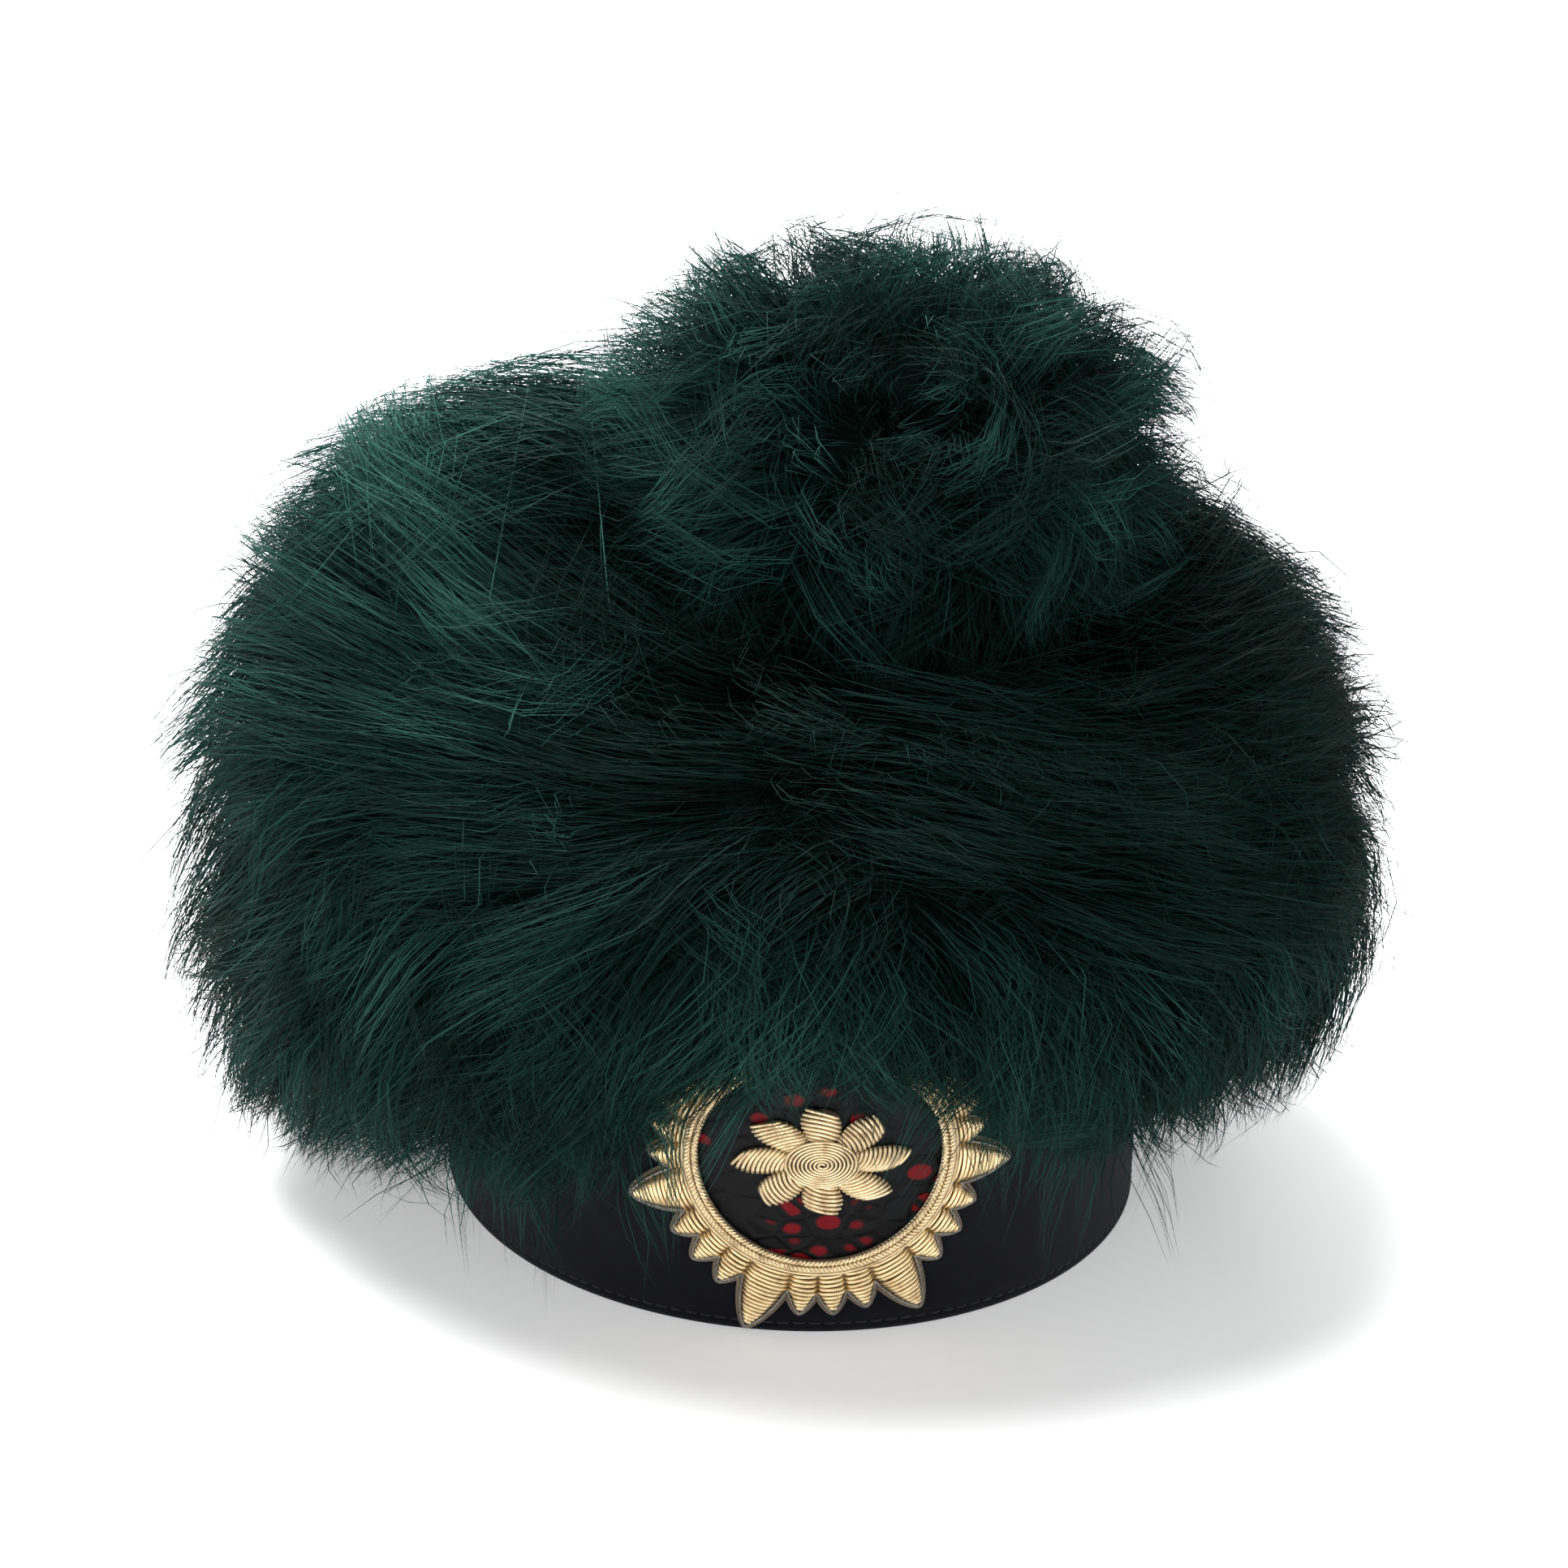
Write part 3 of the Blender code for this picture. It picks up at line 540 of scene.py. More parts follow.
def furProfile(along, turn):
    # Radius and height of the fur's body
    column = {key: smoothCurve(along, fur["along"], fur[key])
              for key in ("leftReach", "rightReach", "frontReach", "backReach", "nest", "rise")}
    across = np.where(np.sin(turn) > 0, column["rightReach"], column["leftReach"]) * furHalf[0]
    lengthwise = np.where(np.cos(turn) > 0, column["frontReach"], column["backReach"]) * furHalf[1]
    hollow = pompom["halfWidth"] + pompom["clearance"]
    rim = (pompom["shift"] * np.sin(turn)
           + np.sqrt(hollow**2 - (pompom["shift"] * np.cos(turn))**2))
    nest = np.clip(column["nest"], 0.0, 1.0)
    radius = (1 - nest) * ovalReach(across, lengthwise, turn) + nest * rim
    inNest = np.maximum(along - 1.0, 0.0)
    radius = radius - fur["nestRun"] * inNest
    brow = fur["browDrop"] * smoothStep((np.cos(turn) + fur["browWrap"]) / (1 + fur["browWrap"]))
    hem = hemHeight(turn)
    lean = fur["lean"] * radius * np.sin(turn) * np.maximum(column["rise"], 0.0)
    height = hem + np.minimum(column["rise"], fur["rise"][-1]) * (furTop - brow - hem) - lean
    return radius, height - fur["nestFall"] * inNest


def furPoint(along, turn, stand):
    # Point that stands out square to the fur's body
    step = 0.02
    radius, height = furProfile(along, turn)
    radiusBefore, heightBefore = furProfile(along - step, turn)
    radiusAfter, heightAfter = furProfile(along + step, turn)
    run, climb = radiusAfter - radiusBefore, heightAfter - heightBefore
    length = np.hypot(run, climb)
    return atTurn(radius + stand * climb / length, turn, height - stand * run / length)


def underPoint(along, turn, stand):
    # Underside of the fur, from the band at 0 to the hem at 1; stand hangs down
    hemRadius, hem = furProfile(np.zeros_like(turn), turn)
    beside = smoothStep((radians(fur["crestSide"]) - turnFromFront(turn)) / radians(fur["crestFade"]))
    inner = ovalReach(*bandHalf, turn) + fur["underGap"] + fur["crestGap"] * beside
    innerHeight = hem + fur["innerHem"] * (seam - hem)
    return atTurn(inner + (hemRadius - inner) * along + fur["underSlant"] * stand, turn,
                  innerHeight + (hem - innerHeight) * along - stand)


whorl = Vector((-0.11, -0.80, 0.59)).normalized()
whorlSide = whorl.cross(Vector((0, 0, 1))).normalized()
whorlUp = whorlSide.cross(whorl)


def pompomPoint(along, turn, stand):
    # Ball of the pompom: along is the angle away from the whorl, turn goes round it
    heading = (np.cos(along)[..., None] * np.array(whorl)
               + (np.sin(along) * np.cos(turn))[..., None] * np.array(whorlSide)
               + (np.sin(along) * np.sin(turn))[..., None] * np.array(whorlUp))
    size = np.array([pompom["halfWidth"], pompom["halfWidth"], pompom["halfHeight"]])
    shoulder = pompom["shoulder"] * np.clip(2 * np.abs(heading[..., 0]) * heading[..., 2], 0, 1)
    return pompomCentre + heading * (size + (stand + shoulder)[..., None])


# Hair

crownHair = {
    # Clumps, and the locks that they follow
    "seed": 11,
    "spacing": 0.0085,
    "strands": 25,
    "spread": 0.0100,
    "lockSpacing": 0.022,
    "lockGather": 0.70,
    "lockHold": 0.35,
    "strandHold": 0.75,
    "litGather": 0.96,
    "darkGather": 0.62,
    # Length, and how far the hair stands off the body, with more in some places
    "length": 0.052,
    "lengthRange": (0.70, 1.25),
    "strandLength": (0.62, 1.10),
    "litLength": 1.12,
    "darkLength": 0.90,
    "bridgeTrim": 0.35,
    "wispTrim": 0.40,
    "root": -0.012,
    "tip": 0.006,
    "tipSpread": 0.005,
    "strandSpread": 0.0015,
    "driftLift": 0.004,
    "litLift": 0.003,
    "rimLift": 0.005,
    "bridgeLift": 0.012,
    "leftLift": 0.003,
    "hipLift": 0.008,
    "wispLift": 0.019,
    "strayLift": 0.010,
    "strayShare": 0.06,
    "most": 0.020,
    "hipMost": 0.004,
    "leftMost": 0.029,
    # Curve of a clump, and the width and turn of a strand
    "bend": 0.75,
    "swing": 0.0308,
    "swayMost": 1.3,
    "wave": 0.0120,
    "sag": 0.002,
    "frizz": 0.0012,
    "width": 0.00032,
    "widthRange": (0.65, 1.35),
    "faceSpread": 0.65,
    "twist": 0.8,
    # Pale locks over dark ones: share and tints, with more or less in some places, where painted light
    # makes the left top paler and painted shade darkens the valley, the brow and the left flank
    "paleTints": (0.50, 1.0),
    "darkTints": (0.02, 0.34),
    "strandTint": 0.07,
    "litShare": 0.40,
    "litDrift": 0.12,
    "topPaintedLightShare": 0.40,
    "flankPaintedShadeShare": -0.10,
    "tint": 0.86,
    "topPaintedLight": 0.80,
    "flankPaintedShade": -0.26,
    "valleyPaintedShade": 0.80,
    "browPaintedShadeThin": 0.55,
    "browPaintedShade": 0.40,
    # The parting that the hair fans out from
    "partingAlong": 0.97,
    "partingTurn": -0.14,
    "leftFan": 1.0,
    "rightFan": 0.65,
    # How low the tips come, and what they stay clear of
    "lowest": -0.15,
    "lowestRange": (-0.08, 0.09),
    "hemClear": 0.014,
    "crestRise": 0.16,
    "crestSide": 31,
    "crestFade": 14,
    "floorGap": 0.0025,
    "bandGap": 0.0062,
}
underHair = dict(crownHair, seed=12, strands=12, spacing=0.0095, root=-0.008, tip=0.017, tipSpread=0.004,
                 swing=0.05, sag=0.0, bend=0.9, radius=0.12, crestTrim=0.85, rows=(0.04, 1.0, 0.19),
                 flow=0.12, gather=0.80, alongSpread=0.10, turnSpread=0.07, tint=0.25,
                 tintSpread=0.12)
# On the pompom painted light makes the left paler, and painted shade darkens the side facing the front,
# most of all low down
pompomHair = dict(crownHair, seed=13, strands=24, spacing=0.0084, root=-0.030, tip=0.003, tipSpread=0.005,
                  length=0.030, lengthRange=(0.6, 1.2), litLength=1.15, sag=0.005, bend=0.85,
                  swing=0.018, driftLift=0.003, leftLift=0.009, lowLift=0.003, whorlLift=0.006,
                  whorlTrim=0.75, leftPaintedLightShare=0.10, lowPaintedShadeThin=0.85, lowPaintedShade=0.7, facePaintedShadeThin=0.3,
                  facePaintedShade=0.2)
fringeHair = dict(crownHair, seed=14, strands=16, spacing=0.0062, tip=0.004, tipSpread=0.002,
                  spread=0.0060, swing=0.14, wave=0.0060, fall=0.17, radius=0.115,
                  rows=(0.04, 0.13, 0.22), crestShare=0.30, litShare=0.60, litGather=0.96,
                  darkGather=0.80, jitter=0.03, dropRange=(0.15, 1.40), alongSpread=0.03,
                  turn=(-85, -60, -45, -34, -24, -12, 0, 12, 24, 36, 46, 60, 85),
                  drop=(0.011, 0.014, 0.022, 0.030, 0.033, 0.025, 0.018, 0.022, 0.028, 0.030, 0.022,
                        0.014, 0.011))
strandTaper = np.array([1.0, 1.0, 0.95, 0.80, 0.55, 0.0])  # share of the width, root to tip
furCentre = (0, 0, 0.08)  # the hair faces away from here


def driftField(chance):
    # Slow waves over the fur, so that neighbouring clumps lean the same way
    turns = chance.integers(2, 9, 6)
    rises = chance.uniform(2.0, 12.0, 6)
    phases = chance.uniform(0, 2 * pi, 6)

    def drift(along, turn):
        waves = [np.sin(k * turn + r * along + p) for k, r, p in zip(turns, rises, phases)]
        return sum(waves) / 6**0.5
    return drift


def combStrands(surface, clumps, look, chance):
    # Paths of all strands: each leaves its own root and gathers to its clump's tip
    count, each = len(clumps["along"]), look["strands"]
    share = np.linspace(0.0, 1.0, len(strandTaper))
    own = {key: value[:, None, None] for key, value in clumps.items() if key != "lock"}
    shiftAlong = chance.uniform(-1, 1, (count, each, 1)) * own["alongSpread"]
    shiftTurn = chance.uniform(-1, 1, (count, each, 1)) * own["turnSpread"]
    length = chance.uniform(*look["strandLength"], (count, each, 1))
    lift = chance.normal(0, look["strandSpread"], (count, each, 1))
    stray = chance.random((count, each, 1)) < look["strayShare"]
    stray = stray * chance.uniform(0.4, 1.0, (count, each, 1))
    along = own["along"] + own["flow"] * length * share
    turn = own["turn"] + own["swing"] * share**1.3
    turn = turn + own["wave"] * share * np.sin(5.2 * share + own["phase"])
    stand = look["root"] + (own["tip"] - look["root"]) * share**look["bend"]
    guide = surface(*np.broadcast_arrays(along, turn, np.minimum(stand, own["most"])))
    if "lock" in clumps:
        held = chance.uniform(look["lockHold"], 1.0, count)[clumps["lock"]][:, None, None, None]
        toLock = held * (look["lockGather"] * share**1.5)[:, None]
        guide = guide * (1 - toLock) + guide.mean(axis=1, keepdims=True)[clumps["lock"]] * toLock
    loft = np.minimum(stand + (lift + look["strayLift"] * stray) * share, own["most"])
    path = surface(*np.broadcast_arrays(along + shiftAlong, turn + shiftTurn, loft))
    loose = chance.uniform(look["strandHold"], 1.0, (count, each, 1)) * (1 - 0.9 * stray)
    gather = (own["gather"] * share**1.3 * loose)[..., None]
    points = path * (1 - gather) + guide * gather
    phase = chance.uniform(0, 2 * pi, (count, each, 1, 3))
    points += look["frizz"] * (share**1.1)[:, None] * np.sin(2 * pi * 1.1 * share[:, None] + phase)
    points[..., 2] = np.maximum(points[..., 2] - look["sag"] * share**2, look["floorGap"])
    clearBand(points, look["bandGap"])
    return points.reshape(count * each, len(share), 3)


def clearBand(points, gap):
    # Hair that hangs beside the band stays clear of its cloth and of the crest
    turn = np.arctan2(points[..., 0], -points[..., 1])
    least = ovalReach(*bandHalf, turn) + gap
    reach = np.hypot(points[..., 0], points[..., 1])
    beside = points[..., 2] < bandHeight - 0.002
    points[..., :2] *= np.where(beside, np.maximum(least / reach, 1.0), 1.0)[..., None]


def overCrest(turn):
    # 1 over the crest, where the hair is short and thin, 0 beside it
    return smoothStep((radians(crownHair["crestSide"]) - turnFromFront(turn))
                      / radians(crownHair["crestFade"]))


def pickLit(litShare, chance):
    # Some clumps are pale pointed locks over the dark ones: gives the mask and the tints
    lit = chance.random(len(litShare)) < litShare
    pale = chance.uniform(*crownHair["paleTints"], len(lit))
    dark = chance.uniform(*crownHair["darkTints"], len(lit))
    return lit, np.where(lit, pale, dark)


def nearestLocks(roots, spacing, chance):
    # Each clump follows the nearest of a few chosen ones, which makes broad locks
    leaders = []
    for index in chance.permutation(len(roots)):
        if all(np.linalg.norm(roots[index] - roots[other]) > spacing for other in leaders):
            leaders.append(index)
    leaders = np.array(leaders)
    apart = np.linalg.norm(roots[:, None] - roots[leaders][None], axis=2)
    return leaders[np.argmin(apart, axis=1)]


def strandMesh(name, points, clumpTint, look, centre, chance):
    count = len(points)
    tint = np.repeat(clumpTint, look["strands"]) + chance.normal(0, look["strandTint"], count)
    halfWidth = look["width"] / 2 * chance.uniform(*look["widthRange"], (count, 1)) * strandTaper
    turned = (look["faceSpread"] * chance.normal(0, 1, (count, 1))
              + look["twist"] * chance.normal(0, 1, (count, 1)) * np.linspace(0, 1, len(strandTaper)))
    return ribbons(name, points, halfWidth, turned, np.clip(tint, 0.01, 0.99), centre)


def fanOut(along, turn, roots):
    # Shares of downward and sideways flow: the hair fans out from a parting below the pompom
    parting = furPoint(np.array([crownHair["partingAlong"]]), np.array([crownHair["partingTurn"]]),
                       np.zeros(1))[0]
    zero = np.zeros_like(along)
    down = unit(furPoint(along - 0.05, turn, zero) - furPoint(along + 0.05, turn, zero))
    beside = unit(furPoint(along, turn + 0.05, zero) - furPoint(along, turn - 0.05, zero))
    away = unit(roots - parting)
    fan = np.where(np.sin(turn) > 0, crownHair["rightFan"], crownHair["leftFan"])
    fan = fan * smoothStep((2.0 - turnFromFront(turn)) / 0.8) * smoothStep((1.03 - along) / 0.12)
    headDown = np.maximum(1.1 - fan + fan * (away * down).sum(axis=1), -0.3)
    headSide = fan * (away * beside).sum(axis=1)
    size = np.hypot(headDown, headSide)
    return headDown / size, headSide / size


def growPiece(name, surface, clumps, tint, look, centre, node, chance):
    points = combStrands(surface, clumps, look, chance)
    mesh = strandMesh(name, points, tint, look, centre, chance)
    addPiece(mesh, greenHair, [node])
    print(name, "strands", len(points))


def scatterRoots(rows, numbers, jitter, chance):
    # Clump roots in rings round the hat, each a little off its even place
    along, turn = [], []
    for row, number in zip(rows, numbers):
        turn.append(2 * pi * (np.arange(number) + chance.uniform(-0.45, 0.45, number)) / number)
        along.append(row + chance.uniform(-jitter, jitter, number))
    return np.concatenate(along), np.concatenate(turn)


def crownRows():
    # Heights of the rings of clumps, evenly spaced over the fur's face, and the clumps in each
    fine = np.linspace(0.03, 1.16, 400)
    faceLength = distanceAlong(furPoint(fine, np.full_like(fine, -pi / 2), np.zeros_like(fine)))
    rows = np.interp(np.arange(0, faceLength[-1], crownHair["spacing"]), faceLength, fine)
    round72 = np.linspace(0, 2 * pi, 72)
    girths = [distanceAlong(furPoint(np.full(72, row), round72, np.zeros(72)))[-1] for row in rows]
    return rows, [int(girth / crownHair["spacing"]) for girth in girths]


def crownZones(along, turn, roots):
    # Shares of the places where the coat differs. Round the pompom there is a rim, a bridge
    # behind it on the right and a valley before it, darkened as painted shade. Below lies the
    # brow, darkened as painted shade too, and the left side has its top, paled as painted light,
    # its flank, darkened as painted shade, wisps along the outline and a hip that bulges low down.
    away, left = turnFromFront(turn), -np.sin(turn)
    valley = (smoothStep((along - 0.54) / 0.26) * smoothStep((roots[:, 0] + 0.060) / 0.040)
              * smoothStep((1.9 - away) / 0.7))
    return {
        "rim": smoothStep((along - 0.72) / 0.25),
        "bridge": (smoothStep((along - 0.86) / 0.14)
                   * smoothStep((1.5 - turnFromFront(turn - 0.5)) / 0.6)),
        "valley": valley,
        "brow": (smoothStep((0.62 - along) / 0.25)
                 * smoothStep((1.05 - turnFromFront(turn - 0.15)) / 0.6)),
        "left": smoothStep(0.5 + 0.8 * left) * smoothStep((along - 0.62) / 0.25),
        "top": smoothStep((along - 0.82) / 0.16) * smoothStep(-0.3 + 1.6 * left) * (1 - valley),
        "flank": smoothStep((0.68 - along) / 0.2) * smoothStep(-0.2 + 1.6 * left),
        "hip": smoothStep((0.48 - along) / 0.2) * smoothStep(-0.2 + 1.4 * left),
        "wisp": (smoothStep(1 - np.abs(along - 0.58) / 0.30)
                 * smoothStep(1 - np.abs(away - 1.65) / 0.45) * (left > 0)),
    }


def growCrown():
    look = crownHair
    chance = np.random.default_rng(look["seed"])
    lean, stand, litWave = driftField(chance), driftField(chance), driftField(chance)
    along, turn = scatterRoots(*crownRows(), 0.02, chance)
    number, zero = len(along), np.zeros_like(along)
    speed = np.linalg.norm(furPoint(along - 0.05, turn, zero) - furPoint(along + 0.05, turn, zero),
                           axis=1) / 0.1
    roots = furPoint(along, turn, zero)
    reach = np.linalg.norm(roots[:, :2], axis=1)
    zone = crownZones(along, turn, roots)
    # Painted shade: the valley before the pompom gets darker tints and fewer pale locks
    clear = 1 - look["valleyPaintedShade"] * zone["valley"]
    # Painted light gives the left top more pale locks and paler tints, and painted shade gives the left
    # flank fewer and darker ones
    litShare = (look["litShare"] + look["litDrift"] * litWave(along, turn)
                + look["topPaintedLightShare"] * zone["top"] + look["flankPaintedShadeShare"] * zone["flank"])
    # Painted shade on the brow: fewer pale locks and darker tints low on the front
    lit, tint = pickLit(litShare * clear * (1 - look["browPaintedShadeThin"] * zone["brow"]), chance)
    tint = (tint * clear * (1 - look["browPaintedShade"] * zone["brow"])
            * (look["tint"] + look["topPaintedLight"] * zone["top"] + look["flankPaintedShade"] * zone["flank"]))
    headDown, headSide = fanOut(along, turn, roots)
    length = look["length"] * chance.uniform(*look["lengthRange"], number)
    flow = (-length * headDown / speed * np.where(lit, look["litLength"], look["darkLength"])
            * (1 - look["bridgeTrim"] * zone["bridge"]) * (1 - look["wispTrim"] * zone["wisp"]))
    lowest = (look["lowest"] + look["crestRise"] * overCrest(turn)
              + chance.uniform(*look["lowestRange"], number))
    hem = hemHeight(turn)
    lowest = np.maximum(lowest, -(hem - look["hemClear"]) / (furTop - hem))
    flow = np.maximum(along + flow, lowest) - along
    own = np.clip(chance.normal(0, 1, number), -look["swayMost"], look["swayMost"])
    sway = 0.5 * lean(along, turn) + 0.5 * own
    clumps = {
        "along": along,
        "turn": turn,
        "flow": flow,
        "swing": (length * headSide + look["swing"] * sway) / reach,
        "tip": (look["tip"] + look["driftLift"] * stand(along, turn)
                + look["rimLift"] * zone["rim"] * chance.uniform(0.2, 1.0, number)
                + look["bridgeLift"] * zone["bridge"] * chance.uniform(0.2, 1.0, number)
                + look["leftLift"] * zone["left"]
                + look["hipLift"] * zone["hip"] * chance.uniform(0.2, 1.0, number)
                + look["litLift"] * lit
                + look["wispLift"] * zone["wisp"] * lit * chance.uniform(0, 1, number)
                + look["tipSpread"] * chance.normal(0, 1, number)),
        "most": np.where(zone["wisp"] > 0, look["leftMost"],
                         look["most"] + look["hipMost"] * zone["hip"]),
        "gather": np.where(lit, look["litGather"], look["darkGather"]),
        "wave": look["wave"] / reach * chance.normal(0, 1, number),
        "phase": chance.uniform(0, 2 * pi, number),
        "alongSpread": look["spread"] / speed,
        "turnSpread": look["spread"] / reach,
        "lock": nearestLocks(roots, look["lockSpacing"], chance),
    }
    points = combStrands(furPoint, clumps, look, chance)
    quarter = (np.floor((turn + pi / 4) / (pi / 2)).astype(int)) % 4
    for index, side in enumerate(("front", "right", "back", "left")):
        chosen = quarter == index
        strands = np.repeat(chosen, look["strands"])
        mesh = strandMesh("fur_" + side, points[strands], tint[chosen], look, furCentre, chance)
        addPiece(mesh, greenHair, ["fur_coat"])
        print("fur_" + side, "strands", int(strands.sum()))


def growUnderside():
    look = underHair
    chance = np.random.default_rng(look["seed"])
    rows = np.arange(*look["rows"])
    girths = 2 * pi * (0.095 + 0.045 * rows)
    along, turn = scatterRoots(rows, (girths / look["spacing"]).astype(int), 0.08, chance)
    along, number = np.maximum(along, 0.0), len(along)
    clumps = {
        "along": along,
        "turn": turn,
        "flow": chance.uniform(0.0, look["flow"], number),
        "swing": look["swing"] * chance.normal(0, 1, number),
        "most": np.full(number, look["most"]),
        "gather": np.full(number, look["gather"]),
        "tip": (look["tip"] * (1 - look["crestTrim"] * overCrest(turn))
                + look["tipSpread"] * chance.normal(0, 1, number)),
        "wave": look["wave"] / look["radius"] * chance.normal(0, 1, number),
        "phase": chance.uniform(0, 2 * pi, number),
        "alongSpread": np.full(number, look["alongSpread"]),
        "turnSpread": np.full(number, look["turnSpread"]),
    }
    tint = look["tint"] + chance.normal(0, look["tintSpread"], number)

    def surface(along, turn, stand):
        return underPoint(np.maximum(along, 0.0), turn, stand)
    growPiece("fur_underside", surface, clumps, tint, look, (0, 0, 0.2), "fur_coat", chance)


def fringePoint(along, turn, stand):
    # The fur's face down to the hem, and straight down from there
    points = furPoint(np.maximum(along, 0.0), turn, stand)
    points[..., 2] += fringeHair["fall"] * np.minimum(along, 0.0)
    return points


def growFringe():
    # Long wisps that hang from the hem over the band, short ones over the crest
    look = fringeHair
    chance = np.random.default_rng(look["seed"])
    ends = np.radians(look["turn"])[[0, -1]]
    each = int((ends[1] - ends[0]) * look["radius"] / look["spacing"])
    rows = np.repeat(look["rows"], each)
    turn = np.tile(np.linspace(*ends, each), len(look["rows"]))
    kept = chance.random(len(rows)) < 1 - (1 - look["crestShare"]) * overCrest(turn)
    rows, number = rows[kept], int(kept.sum())
    turn = turn[kept] + chance.uniform(-look["jitter"], look["jitter"], number)
    drop = smoothCurve(np.degrees(turn), look["turn"], look["drop"])
    along = rows + chance.uniform(-look["jitter"], look["jitter"], number)
    end = -drop * chance.uniform(*look["dropRange"], number) / look["fall"]
    lit, tint = pickLit(np.full(number, look["litShare"]), chance)
    clumps = {
        "along": along,
        "turn": turn,
        "flow": end - along,
        "swing": look["swing"] * chance.normal(0, 1, number),
        "tip": look["tip"] + look["tipSpread"] * chance.normal(0, 1, number),
        "most": np.full(number, look["most"]),
        "gather": np.where(lit, look["litGather"], look["darkGather"]),
        "wave": look["wave"] / look["radius"] * chance.normal(0, 1, number),
        "phase": chance.uniform(0, 2 * pi, number),
        "alongSpread": np.full(number, look["alongSpread"]),
        "turnSpread": np.full(number, look["spread"] / look["radius"]),
    }
    growPiece("fur_fringe", fringePoint, clumps, tint, look, furCentre, "fur_coat", chance)


def growPompom():
    look = pompomHair
    chance = np.random.default_rng(look["seed"])
    lean, stand, litWave = driftField(chance), driftField(chance), driftField(chance)
    ball = pompom["halfWidth"]
    rows = np.arange(0.5, pi * ball / look["spacing"]) * look["spacing"] / ball
    numbers = [max(int(2 * pi * sin(row) * ball / look["spacing"]), 3) for row in rows]
    along, turn = scatterRoots(rows, numbers, 0.06, chance)
    along, number = np.abs(along), len(along)
    reach = ball * np.maximum(np.sin(along), 0.2)
    roots = pompomPoint(along, turn, np.zeros(number))
    left = smoothStep((pompomCentre[0] - roots[:, 0]) / ball)
    low = smoothStep((pompomCentre[2] - roots[:, 2]) / pompom["halfHeight"] / 0.7)
    whorlShare = smoothStep((0.55 - along) / 0.45)
    facing = smoothStep((pompomCentre[1] - roots[:, 1]) / ball / 0.8)
    # Painted light on the left of the ball, painted shade on the side facing the front, most of all low
    # down
    litShare = look["litShare"] + look["litDrift"] * litWave(along, turn) + look["leftPaintedLightShare"] * left
    lit, tint = pickLit(litShare * (1 - look["lowPaintedShadeThin"] * low * facing)
                        * (1 - look["facePaintedShadeThin"] * facing), chance)
    tint = tint * (1 - look["lowPaintedShade"] * low * facing) * (1 - look["facePaintedShade"] * facing)
    clumps = {
        "along": along,
        "turn": turn,
        "flow": (look["length"] / ball * chance.uniform(*look["lengthRange"], number)
                 * (1 - look["whorlTrim"] * whorlShare)
                 * np.where(lit, look["litLength"], look["darkLength"])),
        "swing": look["swing"] / reach * (0.5 * lean(along, turn)
                                          + 0.5 * chance.normal(0, 1, number)),
        "tip": (look["tip"] + look["driftLift"] * stand(along, turn)
                + look["leftLift"] * left
                + look["lowLift"] * low
                + look["whorlLift"] * whorlShare
                + look["litLift"] * lit
                + look["tipSpread"] * chance.normal(0, 1, number)),
        "most": np.full(number, look["most"]),
        "gather": np.where(lit, look["litGather"], look["darkGather"]),
        "wave": look["wave"] / reach * chance.normal(0, 1, number),
        "phase": chance.uniform(0, 2 * pi, number),
        "alongSpread": np.full(number, look["spread"] / ball),
        "turnSpread": look["spread"] / reach,
        "lock": nearestLocks(roots, look["lockSpacing"], chance),
    }
    growPiece("pompom_fur", pompomPoint, clumps, tint, look, pompomCentre, "pompom", chance)


def buildUnderfur():
    # Dark closed body under the hair, near-black as painted shade of the fur's depth: up the outside,
    # into the pompom's hollow, out over the pelt and down to the underside
    sunk = -0.008
    outside = np.linspace(0.0, 0.99, 15)
    neck = pompom["neck"] + 0.003

    def section(turn):
        rings = [furPoint(np.full_like(turn, along), turn, np.full_like(turn, sunk))
                 for along in outside]
        for reach, height in ((0.80, 0.010), (0.45, 0.006)):
            rings.append(atTurn(reach * pompom["halfWidth"], turn, seat + height, pompom["shift"]))
        for height in (0.005, 0.002):
            rings.append(atTurn(neck, turn, seat + height, pompom["shift"]))
        band = ovalReach(*bandHalf, turn)
        for grow, lift in ((-0.020, -0.004), (0.016, -0.016)):
            rings.append(atTurn(band + grow, turn, seat + lift, 0.3 * pompom["shift"]))
        rings.append(atTurn(band + 0.009, turn, seam))
        for share in (0.05, 0.80):
            rings.append(underPoint(np.full_like(turn, share), turn, np.full_like(turn, -0.004)))
        rings.append(rings[0])
        return np.array(rings)

    def place(u, v):
        turn = 2 * pi * u
        rings = section(turn)
        row = np.clip(np.round(v * (len(rings) - 1)).astype(int), 0, len(rings) - 1)
        return rings[row, np.arange(len(u))]

    rows = len(section(np.zeros(1))) - 1
    mesh = mappedGrid("fur_body", place, 96, rows)
    addPiece(mesh, shadedUnderfur, ["fur_coat"])


def buildPompomCore():
    bm = bmesh.new()
    bmesh.ops.create_uvsphere(bm, u_segments=48, v_segments=24, radius=1.0)
    for vert in bm.verts:
        lump = 1 + 0.05 * sin(7 * vert.co.x + 3 * vert.co.z) * sin(9 * vert.co.y)
        vert.co = Vector((vert.co.x * pompom["halfWidth"], vert.co.y * pompom["halfWidth"],
                          vert.co.z * pompom["halfHeight"])) * pompom["coreShare"] * lump
    bottom = min(vert.co.z for vert in bm.verts)
    for vert in bm.verts:
        if vert.co.z < bottom * 0.93:
            vert.co.z = seat + 0.0006 - pompomCentre[2]
    bmesh.ops.translate(bm, verts=bm.verts, vec=Vector(pompomCentre))
    # The core is near-black as painted shade inside the pompom
    addPiece(meshFrom(bm, "pompom_core"), shadedUnderfur, ["pompom"])


